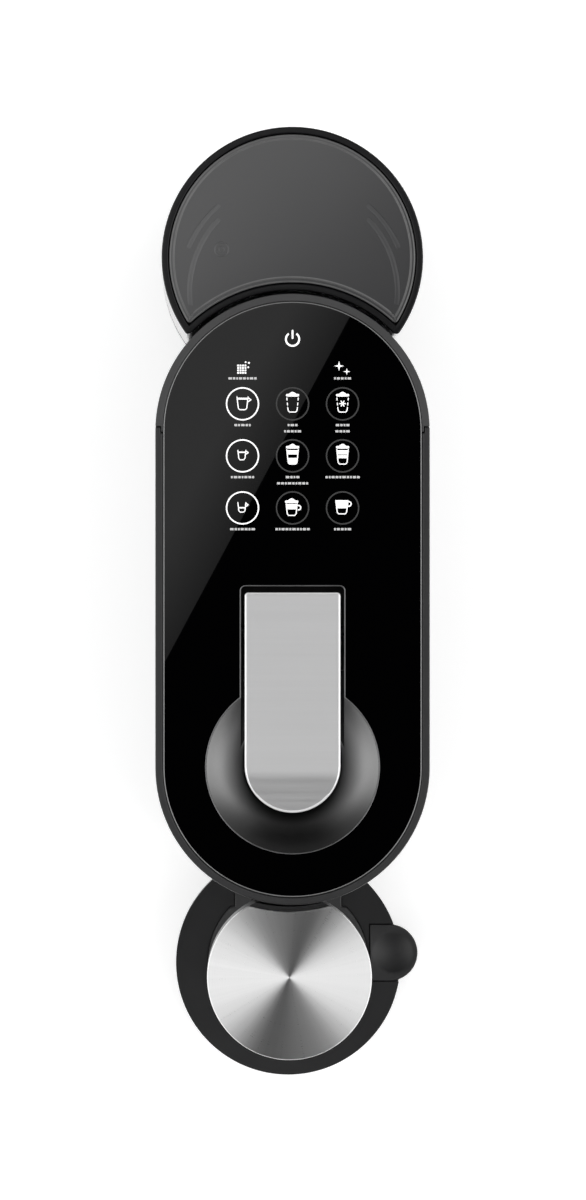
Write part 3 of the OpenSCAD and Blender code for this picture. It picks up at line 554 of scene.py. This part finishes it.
def mesh_object(name, bm, material):
    """Turns a bmesh into an object with one material."""
    mesh = bpy.data.meshes.new(name)
    bm.to_mesh(mesh)
    bm.free()
    mesh.materials.append(material)
    return add_object(name, mesh)


def new_piece(name, bm, material, body, smooth=True):
    """Turns a bmesh into an object that rides on a body."""
    obj = mesh_object(name, bm, material)
    for face in obj.data.polygons:
        face.use_smooth = smooth
    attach(obj, body)
    return obj


def bridge(bm, first, second):
    """Joins two closed loops of the same number of vertices."""
    count = len(first)
    for i in range(count):
        j = (i + 1) % count
        bm.faces.new((first[i], second[i], second[j], first[j]))


def bridge_all(bm, loops, closed=False):
    """Joins each loop to the next, and the last to the first where closed."""
    following = loops[1:] + (loops[:1] if closed else [])
    for first, second in zip(loops, following):
        bridge(bm, first, second)


# ---------------------------------------------------------------- lever

LEVER_TOP = LEVER[1][2]
LEVER_HALF = (LEVER[1][0] - LEVER[0][0]) / 2
LEVER_TIP = LEVER[0][1] + LEVER_HALF
LEVER_CORNER = 1.6 * MM
LEVER_CORNER_LEAST = 0.3 * MM
LEVER_EDGE = 1.1 * MM
LEVER_WALL = 3.0 * MM
LEVER_DEPTH = 10 * MM
LEVER_SKIN = 2.4 * MM
CREASE_START = -71.6 * MM
CREASE_LENGTH = 4.6 * MM
CREASE_SLOPE = math.tan(math.radians(13))
HUB_R = 5 * MM
HUB_LENGTH = 43 * MM
HUB_PLACE = (0, -9 * MM, 260 * MM)
COLUMNS = [i / 8 - 1 for i in range(17)]
CORNER_STEPS = 4
SIDE_STEPS = 26
TIP_STEPS = 30
EDGE_STEPS = 6
RIM_HIGHLIGHT_SLOT = 1
RIM_NORMALS = (0.1, 0.95)  # how far up a rim face looks


def lever_rows(inset):
    """Rows of the plan from the back edge to the tip: y, half width, and where the edge faces."""
    half = LEVER_HALF - inset
    corner = max(LEVER_CORNER_LEAST, LEVER_CORNER - inset)
    back = LEVER[1][1] - inset - corner
    rows = []
    for i in range(CORNER_STEPS + 1):
        a = math.radians(90 - 90 * i / CORNER_STEPS)
        rows.append((back + corner * math.sin(a), half - corner + corner * math.cos(a), a))
    for i in range(1, SIDE_STEPS):
        rows.append((back + (LEVER_TIP - back) * i / SIDE_STEPS, half, 0.0))
    for i in range(TIP_STEPS + 1):
        a = -math.radians(90 * i / TIP_STEPS)
        rows.append((LEVER_TIP + half * math.sin(a), half * math.cos(a), a))
    return rows


def lever_drop(y):
    """How far the top has bent down at y."""
    reach = CREASE_START - y
    if reach <= 0:
        return 0.0
    if reach < CREASE_LENGTH:
        return CREASE_SLOPE * reach * reach / (2 * CREASE_LENGTH)
    return CREASE_SLOPE * (reach - CREASE_LENGTH / 2)


def lever_skin(bm, inset, height):
    """Meshes the plan in rows, and returns its outer loop as vertex and outward direction."""
    rows = lever_rows(inset)
    grid = [[bm.verts.new((w * u, y, height - lever_drop(y))) for u in COLUMNS] for y, w, a in rows[:-1]]
    tip_y = rows[-1][0]
    tip = bm.verts.new((0, tip_y, height - lever_drop(tip_y)))
    for upper, lower in zip(grid, grid[1:]):
        for j in range(len(COLUMNS) - 1):
            bm.faces.new((upper[j], lower[j], lower[j + 1], upper[j + 1]))
    for j in range(len(COLUMNS) - 1):
        bm.faces.new((grid[-1][j], tip, grid[-1][j + 1]))
    right = [(line[-1], (math.cos(row[2]), math.sin(row[2]))) for line, row in zip(grid, rows)]
    left = [(line[0], (-math.cos(row[2]), math.sin(row[2]))) for line, row in zip(grid, rows)]
    back = [(vert, (0, 1)) for vert in grid[0][1:-1]]
    return right + [(tip, (0, -1))] + left[::-1] + back


def lever_edge_loops(bm, edge):
    """The rounded upper edge, as loops that go out and down from the skin's outline."""
    loops = [[vert for vert, out in edge]]
    for k in range(1, EDGE_STEPS + 1):
        a = math.radians(90 * k / EDGE_STEPS)
        ring = []
        for vert, out in edge:
            x = vert.co.x + out[0] * LEVER_EDGE * math.sin(a)
            y = vert.co.y + out[1] * LEVER_EDGE * math.sin(a)
            z = LEVER_TOP - lever_drop(y) - LEVER_EDGE * (1 - math.cos(a))
            ring.append(bm.verts.new((x, y, z)))
        loops.append(ring)
    return loops


def lever_hub(bm):
    """Round bar that holds the lever on its axle."""
    hub = bmesh.ops.create_cone(bm, segments=48, radius1=HUB_R, radius2=HUB_R, depth=HUB_LENGTH,
                                cap_ends=True)
    turn = Matrix.Translation(HUB_PLACE) @ Matrix.Rotation(math.radians(90), 4, "Y")
    bmesh.ops.transform(bm, matrix=turn, verts=hub["verts"])


def build_lever():
    """Satin lever with rounded edges in a painted highlight, a softly bent tip and a hollow underside."""
    bm = bmesh.new()
    bottom = LEVER_TOP - LEVER_DEPTH
    loops = lever_edge_loops(bm, lever_skin(bm, LEVER_EDGE, LEVER_TOP))
    loops.append([bm.verts.new((v.co.x, v.co.y, bottom)) for v in loops[-1]])
    under = [vert for vert, out in lever_skin(bm, LEVER_WALL, LEVER_TOP - LEVER_SKIN)]
    loops.append([bm.verts.new((v.co.x, v.co.y, bottom)) for v in under])
    loops.append(under)
    bridge_all(bm, loops)
    lever_hub(bm)
    bmesh.ops.recalc_face_normals(bm, faces=bm.faces)
    # the rounded edge's faces take the painted highlight
    for face in bm.faces:
        if RIM_NORMALS[0] < face.normal.z < RIM_NORMALS[1]:
            face.material_index = RIM_HIGHLIGHT_SLOT
    obj = new_piece("lever_body", bm, LEVER_MAT, "lever")
    obj.data.materials.append(LEVER_RIM_HIGHLIGHT)
    weighted_normals(obj, 60)
    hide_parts("lever")


build_lever()


# ---------------------------------------------------------------- ground edge of the glass

# distance in from the head's outline and height over the glass, in millimetres
EDGE_SECTION = ((3.64, -0.8), (3.64, -0.15), (3.72, 0.01), (3.86, 0.06), (4.0, 0.05), (4.12, 0.01),
                (4.14, -0.2), (4.14, -0.8))
GLASS_R = (GLASS[1][0] - GLASS[0][0]) / 2
FRONT_ARC_Y = GLASS[0][1] + GLASS_R
REAR_ARC_Y = GLASS[1][1] - GLASS_R


def stadium(r, steps=72):
    """The head's outline at a radius, counter-clockwise."""
    points = []
    for centre, start in ((REAR_ARC_Y, 0.0), (FRONT_ARC_Y, math.pi)):
        for i in range(steps + 1):
            a = start + math.pi * i / steps
            points.append((r * math.cos(a), centre + r * math.sin(a)))
    return points


def build_glass_edge():
    """Thin rounded rim where the glass is ground along its outline."""
    bm = bmesh.new()
    loops = []
    for inset, up in EDGE_SECTION:
        loops.append([bm.verts.new((x, y, GLASS_TOP + up * MM)) for x, y in stadium(HEAD_R - inset * MM)])
    bridge_all(bm, loops, closed=True)
    bmesh.ops.recalc_face_normals(bm, faces=bm.faces)
    obj = new_piece("glass_edge", bm, GLASS_EDGE, "body")


build_glass_edge()


# ---------------------------------------------------------------- tank lid

LID_TOP = LID_BOX[1][2]
LID_DEEPEST = 34.5 * MM
LID_THICK = 2.9 * MM
PLATE_START = 6.3 * MM
PLATE = LID_TOP - 0.62 * MM
CROWN = 0.35 * MM
TIP_R = 1.5 * MM
OUTER_STEPS, FRONT_STEPS, TIP_TURN_STEPS = 128, 90, 7
# distance in from the tank's outline and depth below the lid's top, in millimetres, from underneath
LID_RIM = ((7.0, 2.9), (7.0, 11.5), (5.4, 11.5), (5.4, 5.4), (3.5, 5.4), (3.5, 0.75), (3.56, 0.42),
           (3.72, 0.18), (3.96, 0.04), (4.25, 0.0), (5.0, 0.0), (5.2, 0.05), (5.36, 0.18),
           (5.5, 0.38), (5.66, 0.53), (5.9, 0.6), (6.3, 0.62))
# distances in from the tank's outline, in millimetres
UNDER_INSETS = (24, 14)
PLATE_INSETS = (7.5, 9, 11, 14, 18, 22, 26, 30)
# the two lines round the plate that get the painted highlight
HIGHLIGHT_BANDS = ((3, 4.2), (5.1, 6.1))
# material slots of the painted highlights on the rim lines and on the beads
EDGE_HIGHLIGHT_SLOT, RIB_HIGHLIGHT_SLOT = 1, 2


def inset_at(x, y):
    """How far a point lies inside the tank's outline."""
    return min(TANK_R - math.hypot(x, y - TANK_Y), math.hypot(x, y - HEAD_Y) - FRONT_R)


def crescent(inset):
    """The tank's outline drawn in by an inset, counter-clockwise, with small round tips."""
    outer = TANK_R - inset
    front = FRONT_R + inset
    a = outer - TIP_R
    b = front + TIP_R
    y = (TANK_Y ** 2 - HEAD_Y ** 2 + b * b - a * a) / (2 * (TANK_Y - HEAD_Y))
    x = math.sqrt(max(0.0, a * a - (y - TANK_Y) ** 2))
    low = math.atan2(y - TANK_Y, x)
    near = math.atan2(y - HEAD_Y, x)
    sweeps = ((0, TANK_Y, outer, low, math.pi - low, OUTER_STEPS),
              (-x, y, TIP_R, math.pi - low, math.tau - near, TIP_TURN_STEPS),
              (0, HEAD_Y, front, math.pi - near, near, FRONT_STEPS),
              (x, y, TIP_R, math.pi + near, math.tau + low, TIP_TURN_STEPS))
    points = []
    for cx, cy, r, start, end, count in sweeps:
        for i in range(count):
            t = start + (end - start) * i / count
            points.append((cx + r * math.cos(t), cy + r * math.sin(t)))
    return points


def plate_height(inset):
    """Height of the lid's gently crowned plate, by distance from the tank's outline."""
    share = min(1.0, max(0.0, (inset - PLATE_START) / (LID_DEEPEST - PLATE_START)))
    return PLATE + CROWN * (1 - (1 - share) ** 2)


BEAD_SECTION = ((-0.5, 0.0), (-0.28, 0.75), (0.0, 1.0), (0.28, 0.75), (0.5, 0.0), (0.5, -1.0), (-0.5, -1.0))
BEAD_SINK = 0.06 * MM
BEAD_LAP = 0.01 * MM
BEAD_TAPER = 0.9
BEAD_WIDTH = 2.4
BEAD_CENTRE = (0.5, 144.4)
# radius, first and last angle, height; each is drawn again on the other side
BEADS = ((47, -8, 45, 0.30), (51.5, 22, 50, 0.22))
MARK_CENTRE = (-32, 163.5)
# radius, width, height, steps
MARK_RINGS = ((3.1, 0.8, 0.16, 48), (1.2, 0.7, 0.14, 20))


def bead(bm, centre, r, turn, width, height, closed=False, steps=48):
    """A low rounded bead along an arc on the plate, in millimetres, fading out at open ends."""
    start, end = turn
    rings = []
    for i in range(steps if closed else steps + 1):
        share = i / steps
        t = math.radians(start + (end - start) * share)
        rise = height if closed else height * math.sin(math.pi * share) ** BEAD_TAPER
        ring = []
        for across, up in BEAD_SECTION:
            x = (centre[0] + (r + across * width) * math.cos(t)) * MM
            y = (centre[1] + (r + across * width) * math.sin(t)) * MM
            lift = up * rise * MM - BEAD_LAP if up >= 0 else -BEAD_SINK
            ring.append(bm.verts.new((x, y, plate_height(inset_at(x, y)) + lift)))
        rings.append(ring)
    bridge_all(bm, rings, closed)
    if not closed:
        bm.faces.new(rings[0])
        bm.faces.new(rings[-1])
    # the beads take the lighter copy of the lid plastic, a painted highlight
    for ring in rings:
        for vert in ring:
            for face in vert.link_faces:
                face.material_index = RIB_HIGHLIGHT_SLOT


def lid_levels():
    """The lid's section as distance in and height, from its underside round to the plate's middle."""
    levels = [(inset, LID_TOP - LID_THICK) for inset in (LID_DEEPEST, *[t * MM for t in UNDER_INSETS])]
    levels += [(t * MM, LID_TOP - d * MM) for t, d in LID_RIM]
    levels += [(t * MM, plate_height(t * MM)) for t in PLATE_INSETS]
    return levels + [(LID_DEEPEST, plate_height(LID_DEEPEST))]


def highlight_bands(bm):
    """Marks the faces of the two painted highlight lines round the plate."""
    for face in bm.faces:
        point = face.calc_center_median()
        inset = inset_at(point.x, point.y)
        if point.z > PLATE and any(low * MM < inset < high * MM for low, high in HIGHLIGHT_BANDS):
            face.material_index = EDGE_HIGHLIGHT_SLOT


def build_lid():
    """Smoked lid: double rim line and faint beads in painted highlights, a crowned plate, and a skirt
    underneath.
    """
    bm = bmesh.new()
    loops = [[bm.verts.new((x, y, z)) for x, y in crescent(t)] for t, z in lid_levels()]
    bridge_all(bm, loops)
    bm.faces.new(loops[0])
    bm.faces.new(loops[-1])
    highlight_bands(bm)
    for side in (-1, 1):
        for r, start, end, high in BEADS:
            turn = (start, end) if side > 0 else (180 - end, 180 - start)
            bead(bm, BEAD_CENTRE, r, turn, BEAD_WIDTH, high)
    for r, width, high, steps in MARK_RINGS:
        bead(bm, MARK_CENTRE, r, (0, 360), width, high, closed=True, steps=steps)
    bmesh.ops.recalc_face_normals(bm, faces=bm.faces)
    obj = new_piece("lid_shell", bm, LID, "tank_lid")
    obj.data.materials.append(LID_EDGE_HIGHLIGHT)
    obj.data.materials.append(LID_RIB_HIGHLIGHT)
    weighted_normals(obj, 60)
    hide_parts("tank_lid")


build_lid()


# ---------------------------------------------------------------- printed keys and marks

PRINT_Z = GLASS_TOP + 0.03 * MM
# all sizes from here to the coil are in millimetres
KEY_X = (-22.6, 0.0, 22.6)
KEY_Y = (93.4, 69.9, 46.4)
STROKE = 0.46
RING_WIDTH = 0.62
WHITE_RING_R = 7.2
DIM_RING_R = 7.25


class Ink:
    """Flat shapes printed on the glass, all in one mesh."""

    def __init__(self):
        self.bm = bmesh.new()

    def face(self, points):
        self.bm.faces.new([self.bm.verts.new((x * MM, y * MM, PRINT_Z)) for x, y in points])

    def block(self, x, y, width, height):
        """A rectangle from its lower left corner."""
        self.face([(x, y), (x + width, y), (x + width, y + height), (x, y + height)])

    def disc(self, x, y, r, steps=20):
        turns = [math.tau * i / steps for i in range(steps)]
        self.face([(x + r * math.cos(a), y + r * math.sin(a)) for a in turns])

    def arc(self, x, y, r, width, start=0.0, end=360.0, steps=72):
        turns = [math.radians(start + (end - start) * i / steps) for i in range(steps + 1)]
        inner, outer = r - width / 2, r + width / 2
        for a, b in zip(turns, turns[1:]):
            self.face([(x + inner * math.cos(a), y + inner * math.sin(a)),
                       (x + outer * math.cos(a), y + outer * math.sin(a)),
                       (x + outer * math.cos(b), y + outer * math.sin(b)),
                       (x + inner * math.cos(b), y + inner * math.sin(b))])

    def line(self, points, width=STROKE):
        """A stroke with round ends and joints."""
        for (ax, ay), (bx, by) in zip(points, points[1:]):
            dx, dy = bx - ax, by - ay
            length = math.hypot(dx, dy)
            nx, ny = -dy / length * width / 2, dx / length * width / 2
            self.face([(ax + nx, ay + ny), (ax - nx, ay - ny), (bx - nx, by - ny), (bx + nx, by + ny)])
        for x, y in points:
            self.disc(x, y, width / 2, 12)

    def finish(self, name, material, slot):
        obj = new_piece(name, self.bm, material, "body", smooth=False)
        for face in obj.data.polygons:
            if face.normal.z < 0:
                face.flip()


# a vessel is its width at the top, its width at the bottom and its height
LARGE_CUP = (5.0, 3.8, 5.8)
SMALL_CUP = (3.6, 2.8, 4.3)
TALL_GLASS = (5.2, 4.0, 6.6)
WIDE_CUP = (5.0, 4.0, 5.3)
DEEP_CUP = (5.6, 4.2, 6.0)
FOOT_CORNER = (0.6, 0.7)


def vessel(ink, x, top_y, size, start=0.0):
    """Outline of a cup or glass, open at the top; start leaves out the upper part of its sides."""
    top_w, low_w, height = size
    corner_x, corner_y = FOOT_CORNER
    low_y = top_y - height
    lean = (top_w - low_w) / 2 * start
    ink.line([(x - top_w / 2 + lean, top_y - height * start), (x - low_w / 2, low_y + corner_y),
              (x - low_w / 2 + corner_x, low_y), (x + low_w / 2 - corner_x, low_y),
              (x + low_w / 2, low_y + corner_y), (x + top_w / 2 - lean, top_y - height * start)])


def filled(ink, x, top_y, size, low, high):
    """Fills a vessel between two levels, as shares of its height from the bottom."""
    top_w, low_w, height = size
    base = top_y - height

    def half(level):
        return (low_w + (top_w - low_w) * level) / 2

    ink.face([(x - half(low), base + height * low), (x + half(low), base + height * low),
              (x + half(high), base + height * high), (x - half(high), base + height * high)])


FOAM_WIDTH = 6.0
FOAM_DEPTH = 1.2
PEAK_HALF = 1.9
PEAK_FOOT = 0.55
PEAK_STEPS = 12


def foam(ink, x, y):
    """A flat heap of foam with a small peak."""
    reach = (FOAM_WIDTH - FOAM_DEPTH) / 2
    ink.line([(x - reach, y), (x + reach, y)], FOAM_DEPTH)
    peak = []
    for i in range(PEAK_STEPS + 1):
        share = i / PEAK_STEPS
        up = PEAK_FOOT + math.sin(math.pi * share) ** 1.5
        peak.append((x + PEAK_HALF - 2 * PEAK_HALF * share, y + up))
    ink.face(peak)


def pointed_handle(ink, x, y, size):
    """A small pointed ear at the side of a cup."""
    ink.line([(x, y + 0.95 * size), (x + 1.35 * size, y), (x, y - 0.95 * size)])


def round_handle(ink, x, y, r):
    ink.arc(x, y, r, STROKE + 0.1, -110, 110, 24)


# key row, shift to the side, rise of the brim over the key's centre, vessel, level, size of the ear
LEFT_CUPS = ((0, 0.0, 3.15, LARGE_CUP, 0.86, 1.0), (1, -0.3, 2.5, SMALL_CUP, 0.80, 0.8),
             (2, -0.3, 2.4, SMALL_CUP, 0.46, 0.8))
BAND_HALF = 0.07
EAR_DROP = 1.3


def draw_left_column(ink):
    """Three small cups, each in a bright ring: full, near full and half full."""
    for row, shift, up, size, level, ear in LEFT_CUPS:
        x = KEY_X[0] + shift
        brim = KEY_Y[row] + up
        vessel(ink, x, brim, size)
        filled(ink, x, brim, size, level - BAND_HALF, level + BAND_HALF)
        pointed_handle(ink, x + size[0] / 2, brim - EAR_DROP * ear, ear)
        ink.arc(KEY_X[0], KEY_Y[row], WHITE_RING_R, RING_WIDTH)


GLASS_BRIM = 2.9
GLASS_FOAM = 3.9
SIDES_START = 0.68
SIDE_DASHES = (0.04, 0.38)
SIDE_DASH = 0.14
MILKY = ((0.02, 0.42), (0.66, 0.95))
LAYERED = ((0.40, 0.60), (0.66, 0.95))


def broken_sides(ink, x, brim):
    """Two short strokes on each upper side of a tall glass."""
    top_w, low_w, height = TALL_GLASS
    for side in (-1, 1):
        for high in SIDE_DASHES:
            ends = [(x + side * (top_w - (top_w - low_w) * share) / 2, brim - height * share)
                    for share in (high, high + SIDE_DASH)]
            ink.line(ends)


def draw_tall_glass(ink, column, row, levels=()):
    """A tall glass under its foam, either banded or, without bands, with broken sides."""
    x, y = KEY_X[column], KEY_Y[row]
    brim = y + GLASS_BRIM
    vessel(ink, x, brim, TALL_GLASS, 0.0 if levels else SIDES_START)
    if not levels:
        broken_sides(ink, x, brim)
    for low, high in levels:
        filled(ink, x, brim, TALL_GLASS, low, high)
    foam(ink, x, y + GLASS_FOAM)


# key column, shift to the side, rise of the brim, vessel, filled levels, and the handle's x, y and radius
SHORT_CUPS = ((1, -0.4, 1.9, WIDE_CUP, (0.52, 0.98), (2.7, 0.1, 1.0)),
              (2, -0.3, 3.3, DEEP_CUP, (0.42, 1.03), (2.8, 1.8, 1.05)))
FOAM_COLUMN = 1
FOAM_RISE = 0.9


def draw_short_cups(ink):
    """The two short cups of the last row, one with foam."""
    y = KEY_Y[2]
    for column, shift, up, size, levels, (handle_x, handle_y, handle_r) in SHORT_CUPS:
        x = KEY_X[column]
        vessel(ink, x + shift, y + up, size)
        filled(ink, x + shift, y + up, size, *levels)
        if column == FOAM_COLUMN:
            foam(ink, x + shift, y + up + FOAM_RISE)
        round_handle(ink, x + handle_x, y + handle_y, handle_r)


COLD_R = 1.3
COLD_STROKE = 0.5


def draw_cold_mark(ink, x, y):
    """Three crossed strokes."""
    for turn in (0, 60, 120):
        dx = COLD_R * math.cos(math.radians(turn))
        dy = COLD_R * math.sin(math.radians(turn))
        ink.line([(x - dx, y - dy), (x + dx, y + dy)], COLD_STROKE)


STAR_WAIST = 0.26


def draw_star(ink, x, y, r):
    """A four-pointed sparkle."""
    points = []
    for i in range(8):
        a = math.radians(45 * i)
        reach = r if i % 2 == 0 else r * STAR_WAIST
        points.append((x + reach * math.cos(a), y + reach * math.sin(a)))
    ink.face(points)


DASH_WIDTHS = (1.3, 0.9, 1.6, 1.1, 0.8, 1.4)
DASH_GAP = 0.42
DASH_HEIGHT = 1.0
DASH_SHORT = 0.6


def dashes(ink, x, y, length, seed):
    """A row of short blocks that stands in for a key's name."""
    widths = []
    total = 0.0
    while total < length - DASH_SHORT:
        width = DASH_WIDTHS[(seed + len(widths)) % len(DASH_WIDTHS)]
        widths.append(width)
        total += width + DASH_GAP
    left = x - (total - DASH_GAP) / 2
    for width in widths:
        ink.block(left, y - DASH_HEIGHT / 2, width, DASH_HEIGHT)
        left += width + DASH_GAP


# column, row, and the length of the first and second line of blocks
NAMES = ((0, 0, 7.5, 0), (0, 1, 11.5, 0), (0, 2, 11, 0), (1, 0, 5, 7), (2, 0, 6, 7), (1, 1, 6.5, 14),
         (2, 1, 15, 0), (1, 2, 15, 0), (2, 2, 8.5, 0))
FIRST_LINE = 9.6
SECOND_LINE = 12.4
HEADING_Y = 104.9


def draw_names(ink):
    """Blocks under the keys and under the marks over the outer columns."""
    for column, row, first, second in NAMES:
        dashes(ink, KEY_X[column], KEY_Y[row] - FIRST_LINE, first, column + row)
        if second:
            dashes(ink, KEY_X[column], KEY_Y[row] - SECOND_LINE, second, column + row + 3)
    dashes(ink, KEY_X[0], HEADING_Y, 12.5, 2)
    dashes(ink, KEY_X[2], HEADING_Y, 7.2, 4)


GRID_START = (-2.4, 107.0)
GRID_PITCH = 1.1
GRID_BLOCK = 0.8
GRID_DOTS = ((2.9, 111.9, 0.45), (2.6, 109.9, 0.4), (1.4, 112.2, 0.4))
STARS = ((-1.6, 110.5, 2.3), (1.9, 108.0, 1.6))


def draw_marks(ink):
    """A grid with dots over the left column and two sparkles over the right one."""
    for i in range(4):
        for j in range(4):
            x = KEY_X[0] + GRID_START[0] + GRID_PITCH * i
            ink.block(x, GRID_START[1] + GRID_PITCH * j, GRID_BLOCK, GRID_BLOCK)
    for x, y, r in GRID_DOTS:
        ink.disc(KEY_X[0] + x, y, r)
    for x, y, r in STARS:
        draw_star(ink, KEY_X[2] + x, y, r)


STANDBY_Y = 122.6
STANDBY_R = 3.0
STANDBY_STROKE = 0.85
STANDBY_TURN = (125, 415)
STANDBY_BAR = (0.5, 3.8)


def draw_standby(ink):
    """Plain standby mark: an open ring with a short bar."""
    ink.arc(0, STANDBY_Y, STANDBY_R, STANDBY_STROKE, *STANDBY_TURN)
    ink.line([(0, STANDBY_Y + up) for up in STANDBY_BAR], STANDBY_STROKE)


def draw_keys():
    """Touch keys: rings, cup pictograms, and rows of blocks in place of the key names."""
    white, grey, dim = Ink(), Ink(), Ink()
    draw_left_column(white)
    draw_tall_glass(white, 1, 0)
    draw_tall_glass(white, 1, 1, MILKY)
    draw_tall_glass(white, 2, 0)
    draw_tall_glass(white, 2, 1, LAYERED)
    draw_cold_mark(white, KEY_X[2], KEY_Y[0] + 0.1)
    draw_short_cups(white)
    draw_marks(white)
    draw_standby(white)
    draw_names(grey)
    for x in KEY_X[1:]:
        for y in KEY_Y:
            dim.arc(x, y, DIM_RING_R, RING_WIDTH)
    white.finish("print_white", WHITE_PRINT, "touch_glass")
    grey.finish("print_bars", GREY_PRINT, "touch_glass")
    dim.finish("print_rings", DIM_PRINT, "touch_glass")


draw_keys()


# ---------------------------------------------------------------- coil of the tank valve

COIL_WIRE = 0.5 * MM
COIL_TURNS = 4
COIL_STEPS = 24
VALVE_ROOM = 2.1 * MM  # what the valve needs to rise


def build_valve_coil():
    """A round wire wound round the valve's axis, with closed ends."""
    x = (VALVE[0][0] + VALVE[1][0]) / 2
    y = (VALVE[0][1] + VALVE[1][1]) / 2
    r = (VALVE[1][0] - VALVE[0][0]) / 2 - COIL_WIRE
    low = VALVE[0][2] + VALVE_ROOM + COIL_WIRE
    high = VALVE[1][2] - COIL_WIRE
    data = bpy.data.curves.new("valve_coil", "CURVE")
    data.dimensions = "3D"
    data.bevel_depth = COIL_WIRE
    data.bevel_resolution = 3
    data.use_fill_caps = True
    data.materials.append(ROD)
    spline = data.splines.new("POLY")
    count = COIL_TURNS * COIL_STEPS
    spline.points.add(count)
    for i in range(count + 1):
        a = math.tau * COIL_TURNS * i / count
        z = low + (high - low) * i / count
        spline.points[i].co = (x + r * math.cos(a), y + r * math.sin(a), z, 1)
    obj = add_object("valve_coil", data)
    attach(obj, "water_tank")
    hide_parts("valve_spring")


build_valve_coil()


# ---------------------------------------------------------------- floor and light

FLOOR_REACH = 25
FLOOR_TONE = 0.92
FLOOR_GLOW = 0.36
FILL_HEIGHT = 3.2
FILL_SIZE = 3.0
FILL_POWER = 70
CARD_HEIGHT = 2.5
CARD_EXTRA = 0.35
CARD_WIDTH = 0.55
CARD_LINE = ((0.0254, 0.1319), (-0.0570, -0.0219))  # where the card's edge shows on the glass
CARD_FADE = 38 * MM
CARD_GLOW = (0.30, 0.70)
WORLD_LIGHT = 1.5
PANEL_EDGE = (0.42, 0.92)
LOW_SKY = (0.32, 0.14)
LOW_SKY_LIGHT = 0.8
BACK_FADE = (0.12, 0.62)
BACK_LIGHT = 0.30
ZENITH_FADE = (0.996, 0.975)
LEFT_LIGHT = 0.95
LEFT_FADE = (-0.15, 0.15)
LEAST_FLAT = 0.001


def glowing(name, level, rough, glow):
    """A plain surface that gives off light."""
    return Shader(name, (level,) * 3, rough, Emission_Color=(1, 1, 1, 1), Emission_Strength=glow)


def add_floor():
    """Pale floor."""
    bm = bmesh.new()
    bmesh.ops.create_grid(bm, x_segments=1, y_segments=1, size=FLOOR_REACH)
    floor = mesh_object("floor", bm, glowing("floor_pale", FLOOR_TONE, 0.9, FLOOR_GLOW).material)


def add_fill_light():
    """Wide soft light overhead that no polished surface shows."""
    data = bpy.data.lights.new("overhead_fill", "AREA")
    data.shape = "RECTANGLE"
    data.size = data.size_y = FILL_SIZE
    data.energy = FILL_POWER
    fill = add_object("overhead_fill", data)
    fill.location = (0, 0, FILL_HEIGHT)
    fill.rotation_euler = Vector((0, 0, -FILL_HEIGHT)).to_track_quat("-Z", "Y").to_euler()
    fill.visible_glossy = False


def mirrored(x, y, height):
    """Where the glass at (x, y) shows the plane that lies this far above it."""
    share = height / VIEW_HEIGHT
    return Vector((x + (x - VIEW_EYE[0]) * share, y + (y - VIEW_EYE[1]) * share))


def card_material(edge_point, across):
    """Light that grows with the distance from the card's edge."""
    s = glowing("card_light", 0, 1.0, CARD_GLOW[1])
    reach = s.node("VectorMath", {0: s.place, 1: (*across, 0)}, operation="DOT_PRODUCT").outputs["Value"]
    edge = edge_point.dot(across)
    s.link(s.ramp(reach, edge, edge + CARD_FADE, *CARD_GLOW), "Emission Strength")
    return s.material


def add_glass_card():
    """Dim card high over the glass: its slanted edge is the line across the glass."""
    upper, lower = [mirrored(x, y, CARD_HEIGHT) for x, y in CARD_LINE]
    along = (upper - lower).normalized()
    across = Vector((-along.y, along.x))
    upper += along * CARD_EXTRA
    lower -= along * CARD_EXTRA
    corners = (lower, upper, upper + across * CARD_WIDTH, lower + across * CARD_WIDTH)
    bm = bmesh.new()
    bm.faces.new([bm.verts.new((p.x, p.y, GLASS_TOP + CARD_HEIGHT)) for p in corners])
    card = mesh_object("glass_card", bm, card_material(upper, across))
    card.visible_camera = False
    card.visible_diffuse = False
    card.visible_shadow = False
    card.visible_transmission = False


def add_world():
    """Soft panels to the left and right, dark straight overhead and dim to the front and back."""
    world = bpy.data.worlds.new("studio")
    bpy.context.scene.world = world
    world.use_nodes = True
    w = Nodes(world.node_tree)
    direction = w.node("TexCoord").outputs["Generated"]
    x, y, z = w.node("SeparateXYZ", {"Vector": direction}).outputs
    flat = w.calc("POWER", w.calc("ADD", w.calc("MULTIPLY", x, x), w.calc("MULTIPLY", y, y)), 0.5)
    sideways = w.calc("DIVIDE", w.calc("ABSOLUTE", x), w.calc("MAXIMUM", flat, LEAST_FLAT))
    panels = w.fade(sideways, *PANEL_EDGE)
    low_sky = w.fade(z, *LOW_SKY, 0.0, LOW_SKY_LIGHT)
    level = w.calc("MULTIPLY", w.calc("MAXIMUM", panels, low_sky), w.fade(y, *BACK_FADE, 1.0, BACK_LIGHT))
    level = w.calc("MULTIPLY", level, w.fade(z, *ZENITH_FADE))
    level = w.calc("MULTIPLY", level, w.fade(x, *LEFT_FADE, LEFT_LIGHT, 1.0))
    background = w.tree.nodes["Background"]
    w.tree.links.new(w.calc("MULTIPLY", level, WORLD_LIGHT), background.inputs["Strength"])
    background.inputs["Color"].default_value = (1, 1, 1, 1)


add_floor()
add_world()
add_glass_card()
add_fill_light()
